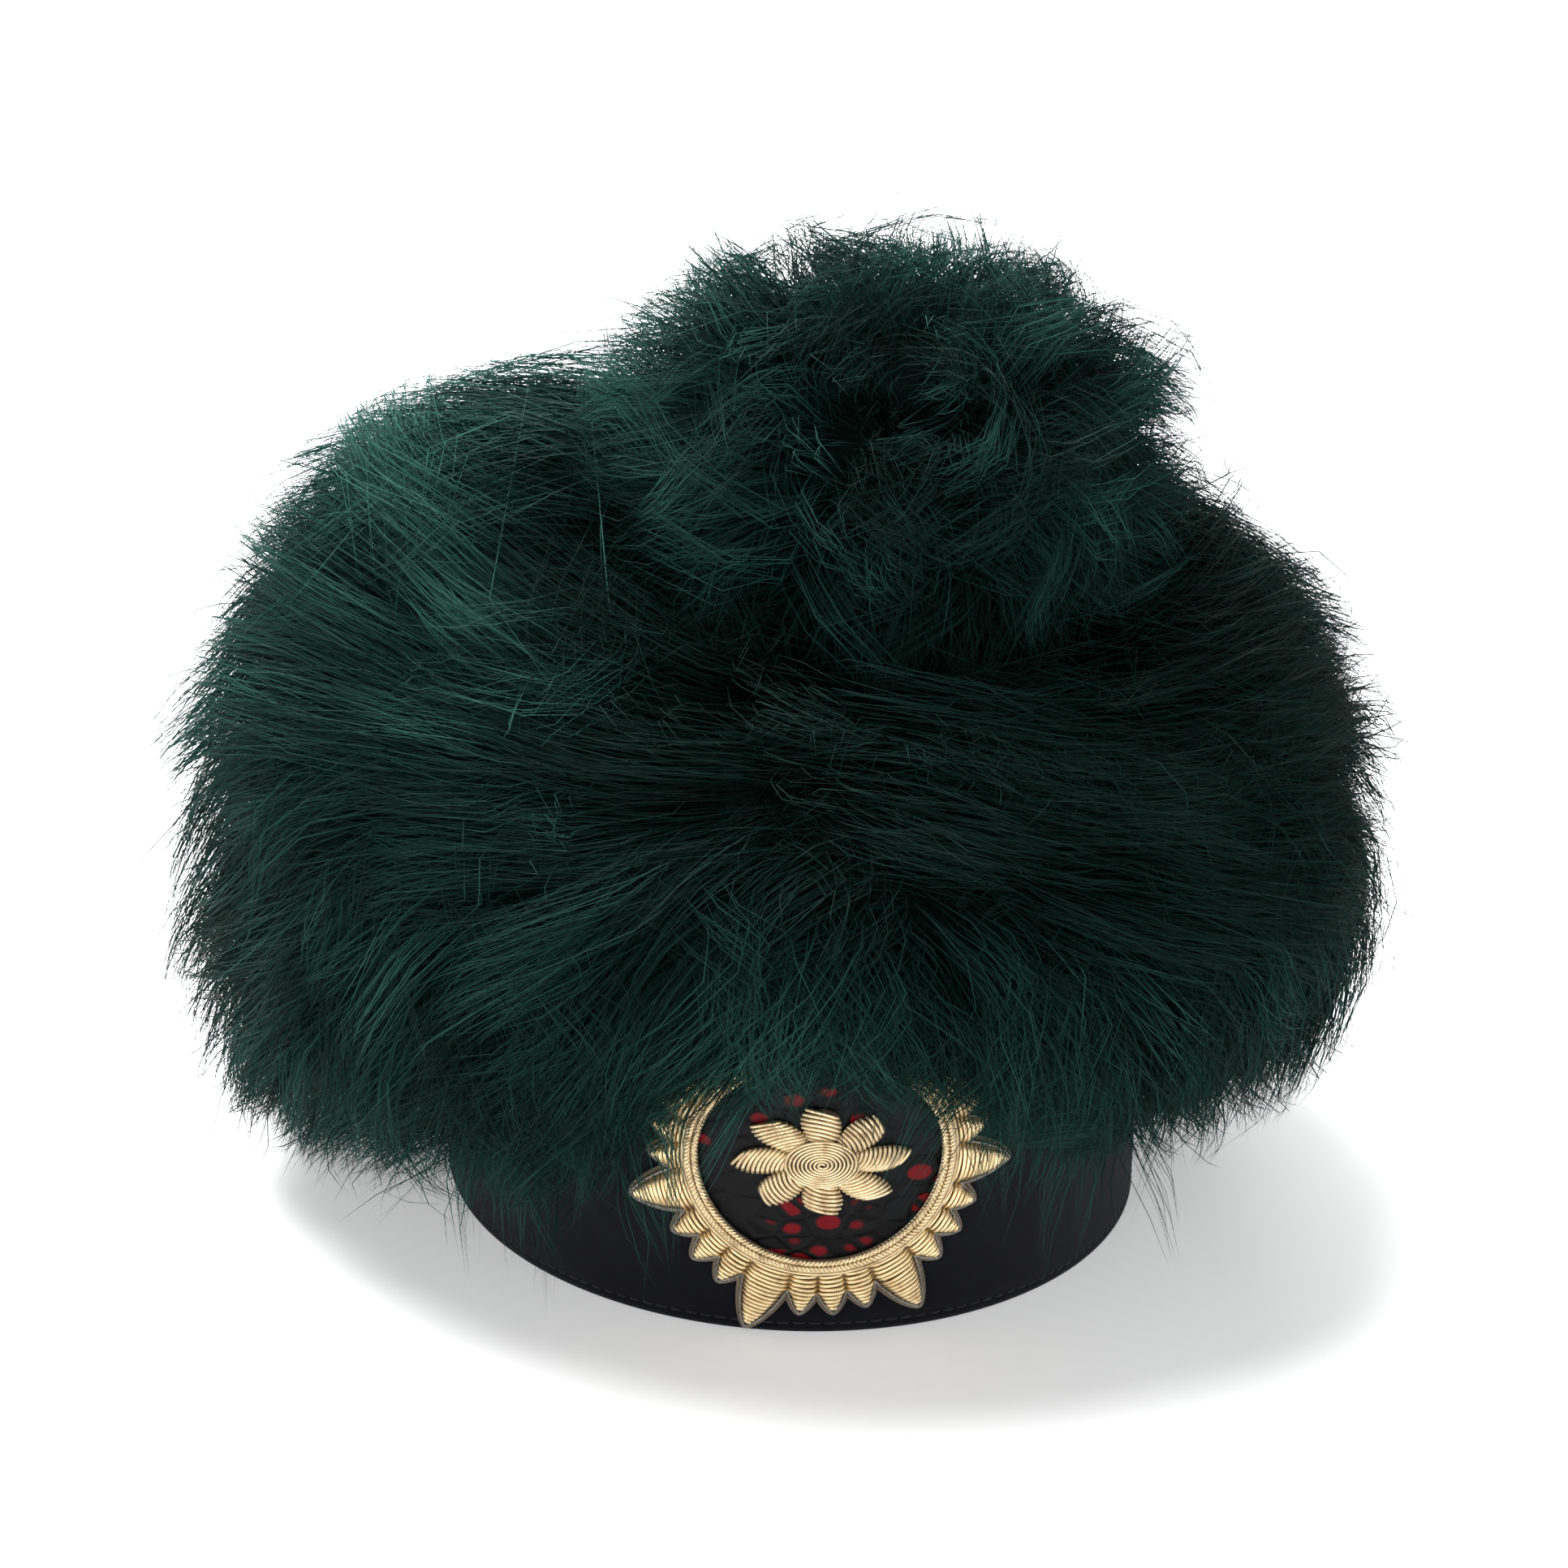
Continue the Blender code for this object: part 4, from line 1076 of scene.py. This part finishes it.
growCrown()
growUnderside()
growFringe()
growPompom()
buildUnderfur()
buildPompomCore()
print("hair ready")


# Headband: a doubled wool wall with a rounded hem and a row of topstitches

band = {
    "around": 168,
    "inset": (0.0012, 0.0004, 0.0, 0.0, 0.00025, 0.0, 0.0, 0.0, 0.0, 0.0, 0.0, 0.0005, 0.00125, 0.0020,
              0.0025, 0.0025, 0.0025, 0.0024, 0.0025, 0.0025, 0.0021),
    "height": (0.0, 0.0004, 0.0013, 0.0021, 0.0028, 0.0035, 0.006, 0.03, 0.06, 0.09, 0.1008, 0.1017,
               0.1020, 0.1017, 0.1008, 0.06, 0.0035, 0.0028, 0.0021, 0.0013, 0.0004),
    "ripple": 0.0005,
    "crestTurn": 0.62,
    "stitchHeight": 0.0028,
    "stitchPitch": 0.0036,
    "stitchLength": 0.0026,
    "stitchWidth": 0.00050,
}


def bandPoint(turn, inset, height):
    away = smoothStep((turnFromFront(turn) - band["crestTurn"]) / 0.4)
    ripple = band["ripple"] * away * (1 + np.sin(7 * turn + 1.3) * np.sin(3 * turn)) / 2
    outside = ovalReach(*bandHalf, turn) - inset - ripple * (height > 0.0009)
    return atTurn(outside, turn, height)


def buildHeadband(cloth, thread):
    inset = np.array(band["inset"] + band["inset"][:1])
    height = np.array(band["height"] + band["height"][:1])

    def place(u, v):
        row = np.round(v * (len(inset) - 1)).astype(int)
        return bandPoint(2 * pi * u, inset[row], height[row])
    wall = mappedGrid("headband_wool", place, band["around"], len(inset) - 1)
    addPiece(wall, cloth, ["headband"])
    perimeter = pi * (bandHalf[0] + bandHalf[1])
    number = int(perimeter / band["stitchPitch"])
    along = np.linspace(-1, 1, 5)
    turn = (2 * pi * np.arange(number)[:, None] / number
            + along * band["stitchLength"] / (bandHalf[0] + bandHalf[1]))
    sunk = 0.00025 + 0.00035 * along**2 - 0.0002
    paths = bandPoint(turn, np.broadcast_to(sunk, turn.shape), np.full_like(turn, band["stitchHeight"]))
    mesh = tubes("headband_stitches", paths, band["stitchWidth"] / 2, 6, (0, 0, 1))
    addPiece(mesh, thread)


# Crest: sewn flat, then bent round the front of the band

crest = {
    "groundHalf": (0.0280, 0.0255),
    "ropeWidth": 0.0046,
    "gap": 0.0003,
    "valley": 0.0355,
    "shortReach": 0.0410,
    "longReach": 0.0480,
    "startTurn": 353.0,
    "longLeaves": 7,
    "shortBetween": 3,
    "longShare": 1.6,
    "fullness": 1.3,
    "aboveRim": 0.0025,
    "feltBack": 0.0005,
    "feltFace": 0.0015,
    "feltEdge": 0.0013,
    "groundFace": 0.0026,
    "trimBack": 0.0029,
    "wrapSteps": 24,
}
shortAngle = 2 * pi / (crest["longLeaves"] * (crest["longShare"] + crest["shortBetween"]))
longAngle = crest["longShare"] * shortAngle
groupAngle = longAngle + crest["shortBetween"] * shortAngle
leafStart = radians(crest["startTurn"]) - longAngle / 2
leafInside = tuple(half + crest["ropeWidth"] + crest["gap"] for half in crest["groundHalf"])


def listLeaves():
    # Middle direction, half-angle and reach of each leaf, the long one first in its group
    leaves = []
    for group in range(crest["longLeaves"]):
        start = leafStart + group * groupAngle
        leaves.append((start + longAngle / 2, longAngle / 2, crest["longReach"]))
        for place in range(crest["shortBetween"]):
            middle = start + longAngle + (place + 0.5) * shortAngle
            leaves.append((middle, shortAngle / 2, crest["shortReach"]))
    return leaves


crestLeaves = listLeaves()
crestHeight = crest["aboveRim"] - min(reach * sin(middle) for middle, half, reach in crestLeaves)
leafSteps = 14


def leafAngles(steps):
    # Directions that meet every tip and every valley of the ring of leaves
    return np.concatenate([middle + half * np.linspace(-1, 1, steps, endpoint=False)
                           for middle, half, reach in crestLeaves])


crestAngles = leafAngles(leafSteps)


def wrapped(across, up, out):
    across, up, out = np.broadcast_arrays(across, up, out)
    turn = np.zeros_like(across)
    for step in range(crest["wrapSteps"]):
        speed = np.hypot(bandHalf[0] * np.cos(turn), bandHalf[1] * np.sin(turn))
        turn = turn + across / crest["wrapSteps"] / speed
    normal = unit(np.stack([np.sin(turn) / bandHalf[0], -np.cos(turn) / bandHalf[1],
                            np.zeros_like(turn)], axis=-1))
    onBand = np.stack([bandHalf[0] * np.sin(turn), -bandHalf[1] * np.cos(turn), crestHeight + up],
                      axis=-1)
    return onBand + normal * out[..., None]


def crestPoint(angle, radius, out):
    return wrapped(radius * np.cos(angle), radius * np.sin(angle), out)


def ovalAt(halfSizes, angle):
    return 1 / np.hypot(np.cos(angle) / halfSizes[0], np.sin(angle) / halfSizes[1])


def outlineReach(angle):
    # Reach of the ring of leaves in any direction
    place = np.mod(angle - leafStart + 1e-9, groupAngle)
    isLong = place < longAngle
    aside = np.where(isLong, 2 * place / longAngle - 1,
                     2 * np.mod(place - longAngle, shortAngle) / shortAngle - 1)
    reach = np.where(isLong, crest["longReach"], crest["shortReach"])
    bulge = 1 - np.clip(np.abs(aside), 0, 1)**crest["fullness"]
    return crest["valley"] + (reach - crest["valley"]) * bulge, aside


def ringPiece(name, section, material, replaced, angles=crestAngles):
    # Closed ring: section gives the radius and the height of each row at the angles
    radii, outs = section(angles)
    rows = len(radii)

    def place(u, v):
        column = np.round(u * len(angles)).astype(int) % len(angles)
        row = np.round(v * rows).astype(int) % rows
        return crestPoint(angles[column], radii[row, column], outs[row, column])
    addPiece(mappedGrid(name, place, len(angles), rows), material, [replaced])


def feltReach(angle):
    # The leaves' outline grown by the same width on every side
    fine = leafAngles(60)
    radius = outlineReach(fine)[0]
    ahead = radius[:, None] * np.cos(fine[:, None] - angle)
    aside = radius[:, None] * np.sin(fine[:, None] - angle)
    room = crest["feltEdge"]**2 - aside**2
    return np.where(room > 0, ahead + np.sqrt(np.maximum(room, 0)), 0).max(axis=0)


def buildFelt(material):
    def section(angle):
        inner = ovalAt(leafInside, angle)
        outer = feltReach(angle)
        back, face = crest["feltBack"], crest["feltFace"]
        rows = [(inner, back), (outer, back), (outer + 0.0001, (back + face) / 2),
                (outer - 0.0001, face - 0.0001), (outer - 0.0004, face),
                ((inner + outer) / 2, face), (inner, face)]
        return (np.array([radius for radius, out in rows]),
                np.array([np.full_like(angle, out) for radius, out in rows]))
    ringPiece("crest_felt", section, material, "crest_backing", leafAngles(28))


leaf = {
    "seed": 21,
    "back": 0.0018,
    "pad": 0.0018,
    "wirePitch": 0.00102,
    "wireRadius": 0.00049,
    "wireInset": 0.00055,
    "share": (0.0, 0.12, 0.50, 0.80, 0.93, 1.0),
    "height": (0.62, 0.85, 1.0, 0.70, 0.36, 0.05),
    "outlineRadius": 0.00042,
    "outlineTwist": 0.0013,
    "outlineStations": 2600,
    "outlineFlat": 0.30,
    "padInset": 0.0008,
    "padShare": 0.55,
    "tipInset": 0.0009,
}


def buildLeafPadding(material):
    def section(angle):
        inner = ovalAt(leafInside, angle)
        outer, aside = outlineReach(angle)
        outer = outer - leaf["padInset"]
        crown = 0.40 + 0.60 * (1 - np.abs(aside)**2.2)**0.5
        radii, outs = [inner, outer], [np.full_like(angle, leaf["back"])] * 2
        for share in (0.98, 0.93, 0.82, 0.66, 0.50, 0.30, 0.12, 0.0):
            height = smoothCurve(np.full_like(angle, share), leaf["share"], leaf["height"])
            radii.append(inner + (outer - inner) * share)
            outs.append(leaf["back"] + 0.0001 + leaf["padShare"] * leaf["pad"] * height * crown)
        return np.array(radii), np.array(outs)
    ringPiece("crest_leaf_padding", section, material, "crest_leaves")


def buildLeafWires(material):
    # Straight wires laid side by side over the padding of each leaf
    chance = np.random.default_rng(leaf["seed"])
    across = np.linspace(-1, 1, 7)
    arch = 0.10 + 0.90 * (1 - np.abs(across)**2.6)**0.5
    paths = []
    for middle, half, reach in crestLeaves:
        base = float(ovalAt(leafInside, middle))
        length = reach - leaf["tipInset"] - base
        number = int(length / leaf["wirePitch"])
        for place in range(number):
            radius = base + (place + 0.5) * length / number
            above = max(radius - crest["valley"], 0) / (reach - crest["valley"])
            limit = max(1 - above, 0)**(1 / crest["fullness"])
            if above > 0:
                limit = max(limit - leaf["wireInset"] / radius / half, 0.06)
            tilt = chance.normal(0, 0.00008)
            height = smoothCurve((radius - base) / (reach - base), leaf["share"], leaf["height"])
            out = leaf["back"] + leaf["pad"] * height * arch + chance.normal(0, 0.00005)
            inward = ovalAt(leafInside, middle + half * across) - base
            bow = inward * np.clip(1 - place / 3, 0, 1)
            angle = middle + half * limit * 0.98 * across
            paths.append(crestPoint(angle, radius + bow + tilt * across, out))
    mesh = tubes("crest_leaf_wires", np.array(paths), leaf["wireRadius"], 6, (0, -1, 0.2))
    addPiece(mesh, material, ["crest_leaves"])


def buildLeafOutline(material):
    # Dark twisted wire couched round every leaf, with a flattened section that turns
    angle = leafAngles(80)
    radius = outlineReach(angle)[0] + 0.0001
    flat = np.stack([radius * np.cos(angle), radius * np.sin(angle)], axis=-1)
    flat = np.concatenate([flat, flat[:1]])
    arc = distanceAlong(flat)
    even = np.linspace(0, arc[-1], leaf["outlineStations"], endpoint=False)
    x, y = np.interp(even, arc, flat[:, 0]), np.interp(even, arc, flat[:, 1])
    path = wrapped(x, y, leaf["back"] + leaf["outlineRadius"])[None]
    normal = unit(path - wrapped(x, y, 0.0)[None])
    turns = round(arc[-1] / leaf["outlineTwist"])
    phase = 2 * pi * turns * np.arange(len(even))[:, None] / len(even)
    wave = np.cos(2 * (2 * pi * np.arange(6) / 6 - phase))
    radii = leaf["outlineRadius"] * (1 + leaf["outlineFlat"] * wave)
    mesh = tubes("crest_leaf_outline", path, radii[None], 6, normal, closed=True)
    addPiece(mesh, material, ["crest_leaves"])


rope = {
    "cordGrowths": (0.0011, 0.0028),
    "out": 0.0041,
    "plyRadius": 0.00048,
    "plyOffset": 0.00042,
    "pitch": 0.0020,
    "stationsPerTurn": 8,
    "wireGrowth": 0.0041,
    "wireRadius": 0.00035,
    "bedOut": 0.0037,
}


def ovalPath(growth, number):
    # Evenly spaced path round the ground, with the direction away from the band
    angle = np.linspace(0, 2 * pi, 721)
    x = (crest["groundHalf"][0] + growth) * np.cos(angle)
    y = (crest["groundHalf"][1] + growth) * np.sin(angle)
    arc = np.concatenate([[0], np.cumsum(np.hypot(np.diff(x), np.diff(y)))])
    even = np.linspace(0, arc[-1], number, endpoint=False)
    x, y = np.interp(even, arc, x), np.interp(even, arc, y)
    return x, y, arc[-1]


def buildRope(material):
    plies = []
    for growth, hand in zip(rope["cordGrowths"], (1, -1)):
        length = ovalPath(growth, 8)[2]
        turns = round(length / rope["pitch"])
        x, y, length = ovalPath(growth, turns * rope["stationsPerTurn"])
        path = wrapped(x, y, rope["out"])
        normal = unit(path - wrapped(x, y, 0.0))
        ahead = unit(np.roll(path, -1, axis=0) - np.roll(path, 1, axis=0))
        side = np.cross(ahead, normal)
        phase = hand * 2 * pi * turns * np.arange(len(x))[:, None] / len(x)
        for start in (0, pi):
            turned = np.cos(phase + start) * side + np.sin(phase + start) * normal
            plies.append((path + rope["plyOffset"] * turned, normal))
    for index, name in ((0, "crest_inner_cord"), (2, "crest_outer_cord")):
        paths = np.array([plies[index][0], plies[index + 1][0]])
        mesh = tubes(name, paths, rope["plyRadius"], 6, plies[index][1][None], closed=True)
        addPiece(mesh, material, ["crest_rope"])
    x, y, length = ovalPath(rope["wireGrowth"], 180)
    path = wrapped(x, y, rope["bedOut"] + rope["wireRadius"])
    mesh = tubes("crest_edge_wire", path[None], rope["wireRadius"], 6,
                 unit(path - wrapped(x, y, 0.0))[None], closed=True)
    addPiece(mesh, material, ["crest_rope"])

    def section(angle):
        radii, outs = [], []
        for share, out in ((0.12, 0.0), (1, 0.0), (0.96, 0.5), (0.5, 0.7), (0.16, 0.5)):
            growth = share * crest["ropeWidth"]
            radii.append(ovalAt([half + growth for half in crest["groundHalf"]], angle))
            outs.append(np.full_like(angle, crest["trimBack"] + out * (rope["bedOut"] - crest["trimBack"])))
        return np.array(radii), np.array(outs)
    ringPiece("crest_rope_bed", section, material, "crest_rope",
              np.linspace(0, 2 * pi, 128, endpoint=False))


def buildGround(material):
    # Padded satin inside the rope: its pattern is laid out flat in millimetres
    half = [size + crest["ropeWidth"] for size in crest["groundHalf"]]
    share = np.concatenate([np.linspace(0, 1, 26), [1.0, 0.66, 0.33, 0.0]])
    out = np.concatenate([np.full(26, crest["groundFace"]), np.full(4, crest["feltBack"])])

    def flatPlace(u, v):
        row = np.round(v * (len(share) - 1)).astype(int)
        reach = ovalAt(half, 2 * pi * u) * share[row]
        return reach * np.cos(2 * pi * u), reach * np.sin(2 * pi * u), row

    def place(u, v):
        x, y, row = flatPlace(u, v)
        swell = 0.00012 * np.sin(1150 * x) * np.sin(1150 * y) * (row < 24)
        return wrapped(x, y, out[row] + swell)

    def flat(u, v):
        x, y, row = flatPlace(u, v)
        return np.stack([x, y], axis=-1) * 1000
    mesh = mappedGrid("crest_satin", place, 112, len(share) - 1, flat)
    addPiece(mesh, material, ["crest_ground"])


rosette = {
    "halfSizes": (0.0200, 0.0145),
    "petals": 8,
    "waist": 0.50,
    "fullness": 0.60,
    "depth": 0.0016,
    "boss": 0.0010,
    "bossFoot": 0.45,
    "wirePitch": 0.00108,
    "wireRadius": 0.00050,
    "slant": 0.65,
    "bossTurns": 9,
    "bossWireRadius": 0.00036,
}


def rosettePoint(share, angle, out):
    return wrapped(rosette["halfSizes"][0] * share * np.cos(angle),
                   rosette["halfSizes"][1] * share * np.sin(angle), out)


def buildRosette(material, padding):
    top = crest["trimBack"] + rosette["depth"]

    def place(u, v):
        angle = 2 * pi * u
        bulge = np.abs(np.cos(rosette["petals"] * angle / 2))**rosette["fullness"]
        edge = rosette["waist"] + (1 - rosette["waist"]) * bulge
        row = np.round(v * 8).astype(int)
        share = np.array([0, 0.5, 0.93, 0.95, 0.88, 0.70, 0.45, 0.25, 0.0])[row]
        rise = np.array([0, 0, 0, 0.20, 0.35, 0.45, 0.50, 1.1, 1.3])[row]
        return rosettePoint(edge * share, angle, crest["trimBack"] + rise * rosette["depth"])
    addPiece(mappedGrid("rosette_padding", place, 192, 8), padding, ["crest_rosette"])
    across = np.linspace(-1, 1, 7)
    arch = (1 - across**2)**0.5
    paths = []
    for petal in range(rosette["petals"]):
        middle = 2 * pi * petal / rosette["petals"]
        length = np.hypot(rosette["halfSizes"][0] * cos(middle), rosette["halfSizes"][1] * sin(middle))
        step = rosette["wirePitch"] / length
        for share in np.arange(0.36, 0.955, step):
            bulge = np.clip((share - rosette["waist"]) / (1 - rosette["waist"]), 0, 1)
            half = np.arccos(bulge**(1 / rosette["fullness"])) * 2 / rosette["petals"]
            lean = rosette["slant"] * min(share * half, 0.12)
            rise = smoothCurve(share, (0.36, 0.62, 0.85, 1.0), (0.80, 1.0, 0.85, 0.45))
            out = crest["trimBack"] + 0.0004 + 0.0010 * rise * arch
            paths.append(rosettePoint(share + lean * across, middle + half * 0.97 * across, out))
    mesh = tubes("rosette_petals", np.array(paths), rosette["wireRadius"], 6, (0, -1, 0.2))
    addPiece(mesh, material, ["crest_rosette"])
    turns = np.linspace(0, rosette["bossTurns"], rosette["bossTurns"] * 30)
    share = 0.02 + (rosette["bossFoot"] - 0.04) * turns / rosette["bossTurns"]
    dome = (1 - (share / rosette["bossFoot"])**2)**0.7
    path = rosettePoint(share, 2 * pi * turns, top + rosette["boss"] * dome)
    mesh = tubes("rosette_boss", path[None], rosette["bossWireRadius"], 6, (0, -1, 0))
    addPiece(mesh, material, ["crest_rosette"])


satin = {
    "cellsPerMm": (0.135, 0.200, 1.0),
    "randomness": 0.75,
    "ridgeEnd": 0.16,
    "ridgeDepth": 0.0006,
    "lozengeEdge": (0.06, 0.14),
    "lozengeReach": (0.34, 0.46),
    "redRun": (-24.0, 8.0),  # millimetres up from the middle, and the share of red there
    "redShare": (0.90, 0.28),
    "darkRed": (0.060, 0.0003, 0.0015, 1),
    "paleRed": (0.21, 0.0015, 0.006, 1),
    "black": (0.0020, 0.0020, 0.0028, 1),
    "roughness": 0.46,
    "shine": 0.12,
}


def satinMaterial():
    # Black satin with embossed cells, some of them filled with a deep red lozenge
    material, tree, shader = newMaterial("black_and_red_satin")
    run = addNode(tree, "ShaderNodeUVMap", uv_map="run").outputs[0]
    squash = addNode(tree, "ShaderNodeVectorMath", {0: run, 1: satin["cellsPerMm"]}, operation="MULTIPLY")
    grid = {"Vector": squash.outputs[0], "Scale": 1.0, "Randomness": satin["randomness"]}
    ridges = addNode(tree, "ShaderNodeTexVoronoi", grid, feature="DISTANCE_TO_EDGE").outputs["Distance"]
    cells = addNode(tree, "ShaderNodeTexVoronoi", grid)
    edge = mapRange(tree, ridges, *satin["lozengeEdge"], kind="SMOOTHSTEP")
    blob = mapRange(tree, cells.outputs["Distance"], *satin["lozengeReach"], 1.0, 0.0, "SMOOTHSTEP")
    split = addNode(tree, "ShaderNodeSeparateColor", {0: cells.outputs["Color"]})
    height = addNode(tree, "ShaderNodeSeparateXYZ", {0: run})
    likely = mapRange(tree, height.outputs["Y"], *satin["redRun"], *satin["redShare"])
    chosen = maths(tree, "LESS_THAN", split.outputs["Red"], likely)
    red = maths(tree, "MULTIPLY", maths(tree, "MULTIPLY", edge, blob), chosen)
    thread = addNode(tree, "ShaderNodeTexNoise", {"Vector": run, "Scale": 2.4, "Detail": 3.0})
    deep = mixColours(tree, thread.outputs["Fac"], satin["darkRed"], satin["paleRed"])
    ridge = mapRange(tree, ridges, 0.0, satin["ridgeEnd"], kind="SMOOTHSTEP")
    bump = addNode(tree, "ShaderNodeBump",
                   {"Distance": satin["ridgeDepth"], "Strength": 0.5, "Height": ridge}, invert=True)
    feed(tree, shader, {"Base Color": mixColours(tree, red, satin["black"], deep),
                        "Normal": bump.outputs[0],
                        "Roughness": satin["roughness"],
                        "Specular IOR Level": satin["shine"]})
    return material


def reclothe(node, material):
    mesh = bpy.data.objects[node].data
    mesh.materials.clear()
    mesh.materials.append(material)


navyWool = clothMaterial("navy_wool_cloth", cloth=(0.0020, 0.0022, 0.0046), worn=(0.0046, 0.0050, 0.0090),
                         grain=3000.0, depth=0.6, roughness=0.92, sheen=0.05, shine=0.12)
navyThread = clothMaterial("navy_thread", cloth=(0.006, 0.006, 0.010), worn=(0.014, 0.014, 0.020),
                           grain=6000.0, depth=0.5, roughness=0.7, sheen=0.1)
suede = clothMaterial("pelt_suede", cloth=(0.10, 0.085, 0.065), worn=(0.17, 0.15, 0.12),
                      grain=1600.0, depth=0.5, roughness=0.9, sheen=0.2)
greyFelt = clothMaterial("grey_felt_cloth", cloth=(0.105, 0.074, 0.046), worn=(0.18, 0.135, 0.090),
                         grain=1800.0, depth=0.8, roughness=0.95, sheen=0.3)
goldWire = wireMaterial("pale_gold_wire", bright=(1.0, 0.84, 0.55), tarnishAndShade=(0.42, 0.27, 0.13),
                        coils=3.2, depth=0.35, metallic=0.95)
goldPlate = wireMaterial("smooth_gold_wire", bright=(1.0, 0.82, 0.50), tarnishAndShade=(0.55, 0.36, 0.17),
                         coils=2.4, depth=0.10, metallic=0.95)
# The padding seen between the gold wires is dark brown as painted shade in the gaps
goldPaddingShade = wireMaterial("gold_padding", bright=(0.09, 0.060, 0.032), tarnishAndShade=(0.05, 0.032, 0.018),
                           coils=2.0, depth=0.3, metallic=0.3)
darkSilver = wireMaterial("dark_silver_wire", bright=(0.46, 0.43, 0.38), tarnishAndShade=(0.07, 0.055, 0.042),
                          coils=2.0, depth=0.8, metallic=0.85)
buildHeadband(navyWool, navyThread)
reclothe("crown_skin", suede)
buildFelt(greyFelt)
buildLeafPadding(goldPaddingShade)
buildLeafWires(goldPlate)
buildLeafOutline(darkSilver)
buildRope(goldWire)
buildGround(satinMaterial())
buildRosette(goldWire, goldPaddingShade)
print("headband and crest ready")


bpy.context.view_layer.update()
total = 0
for piece in scene.objects:
    if piece.type == "MESH" and not piece.hide_render:
        triangles = sum(len(face.vertices) - 2 for face in piece.data.polygons)
        total += triangles
        print(piece.name, triangles, "triangles")
print("all pieces", total, "triangles")
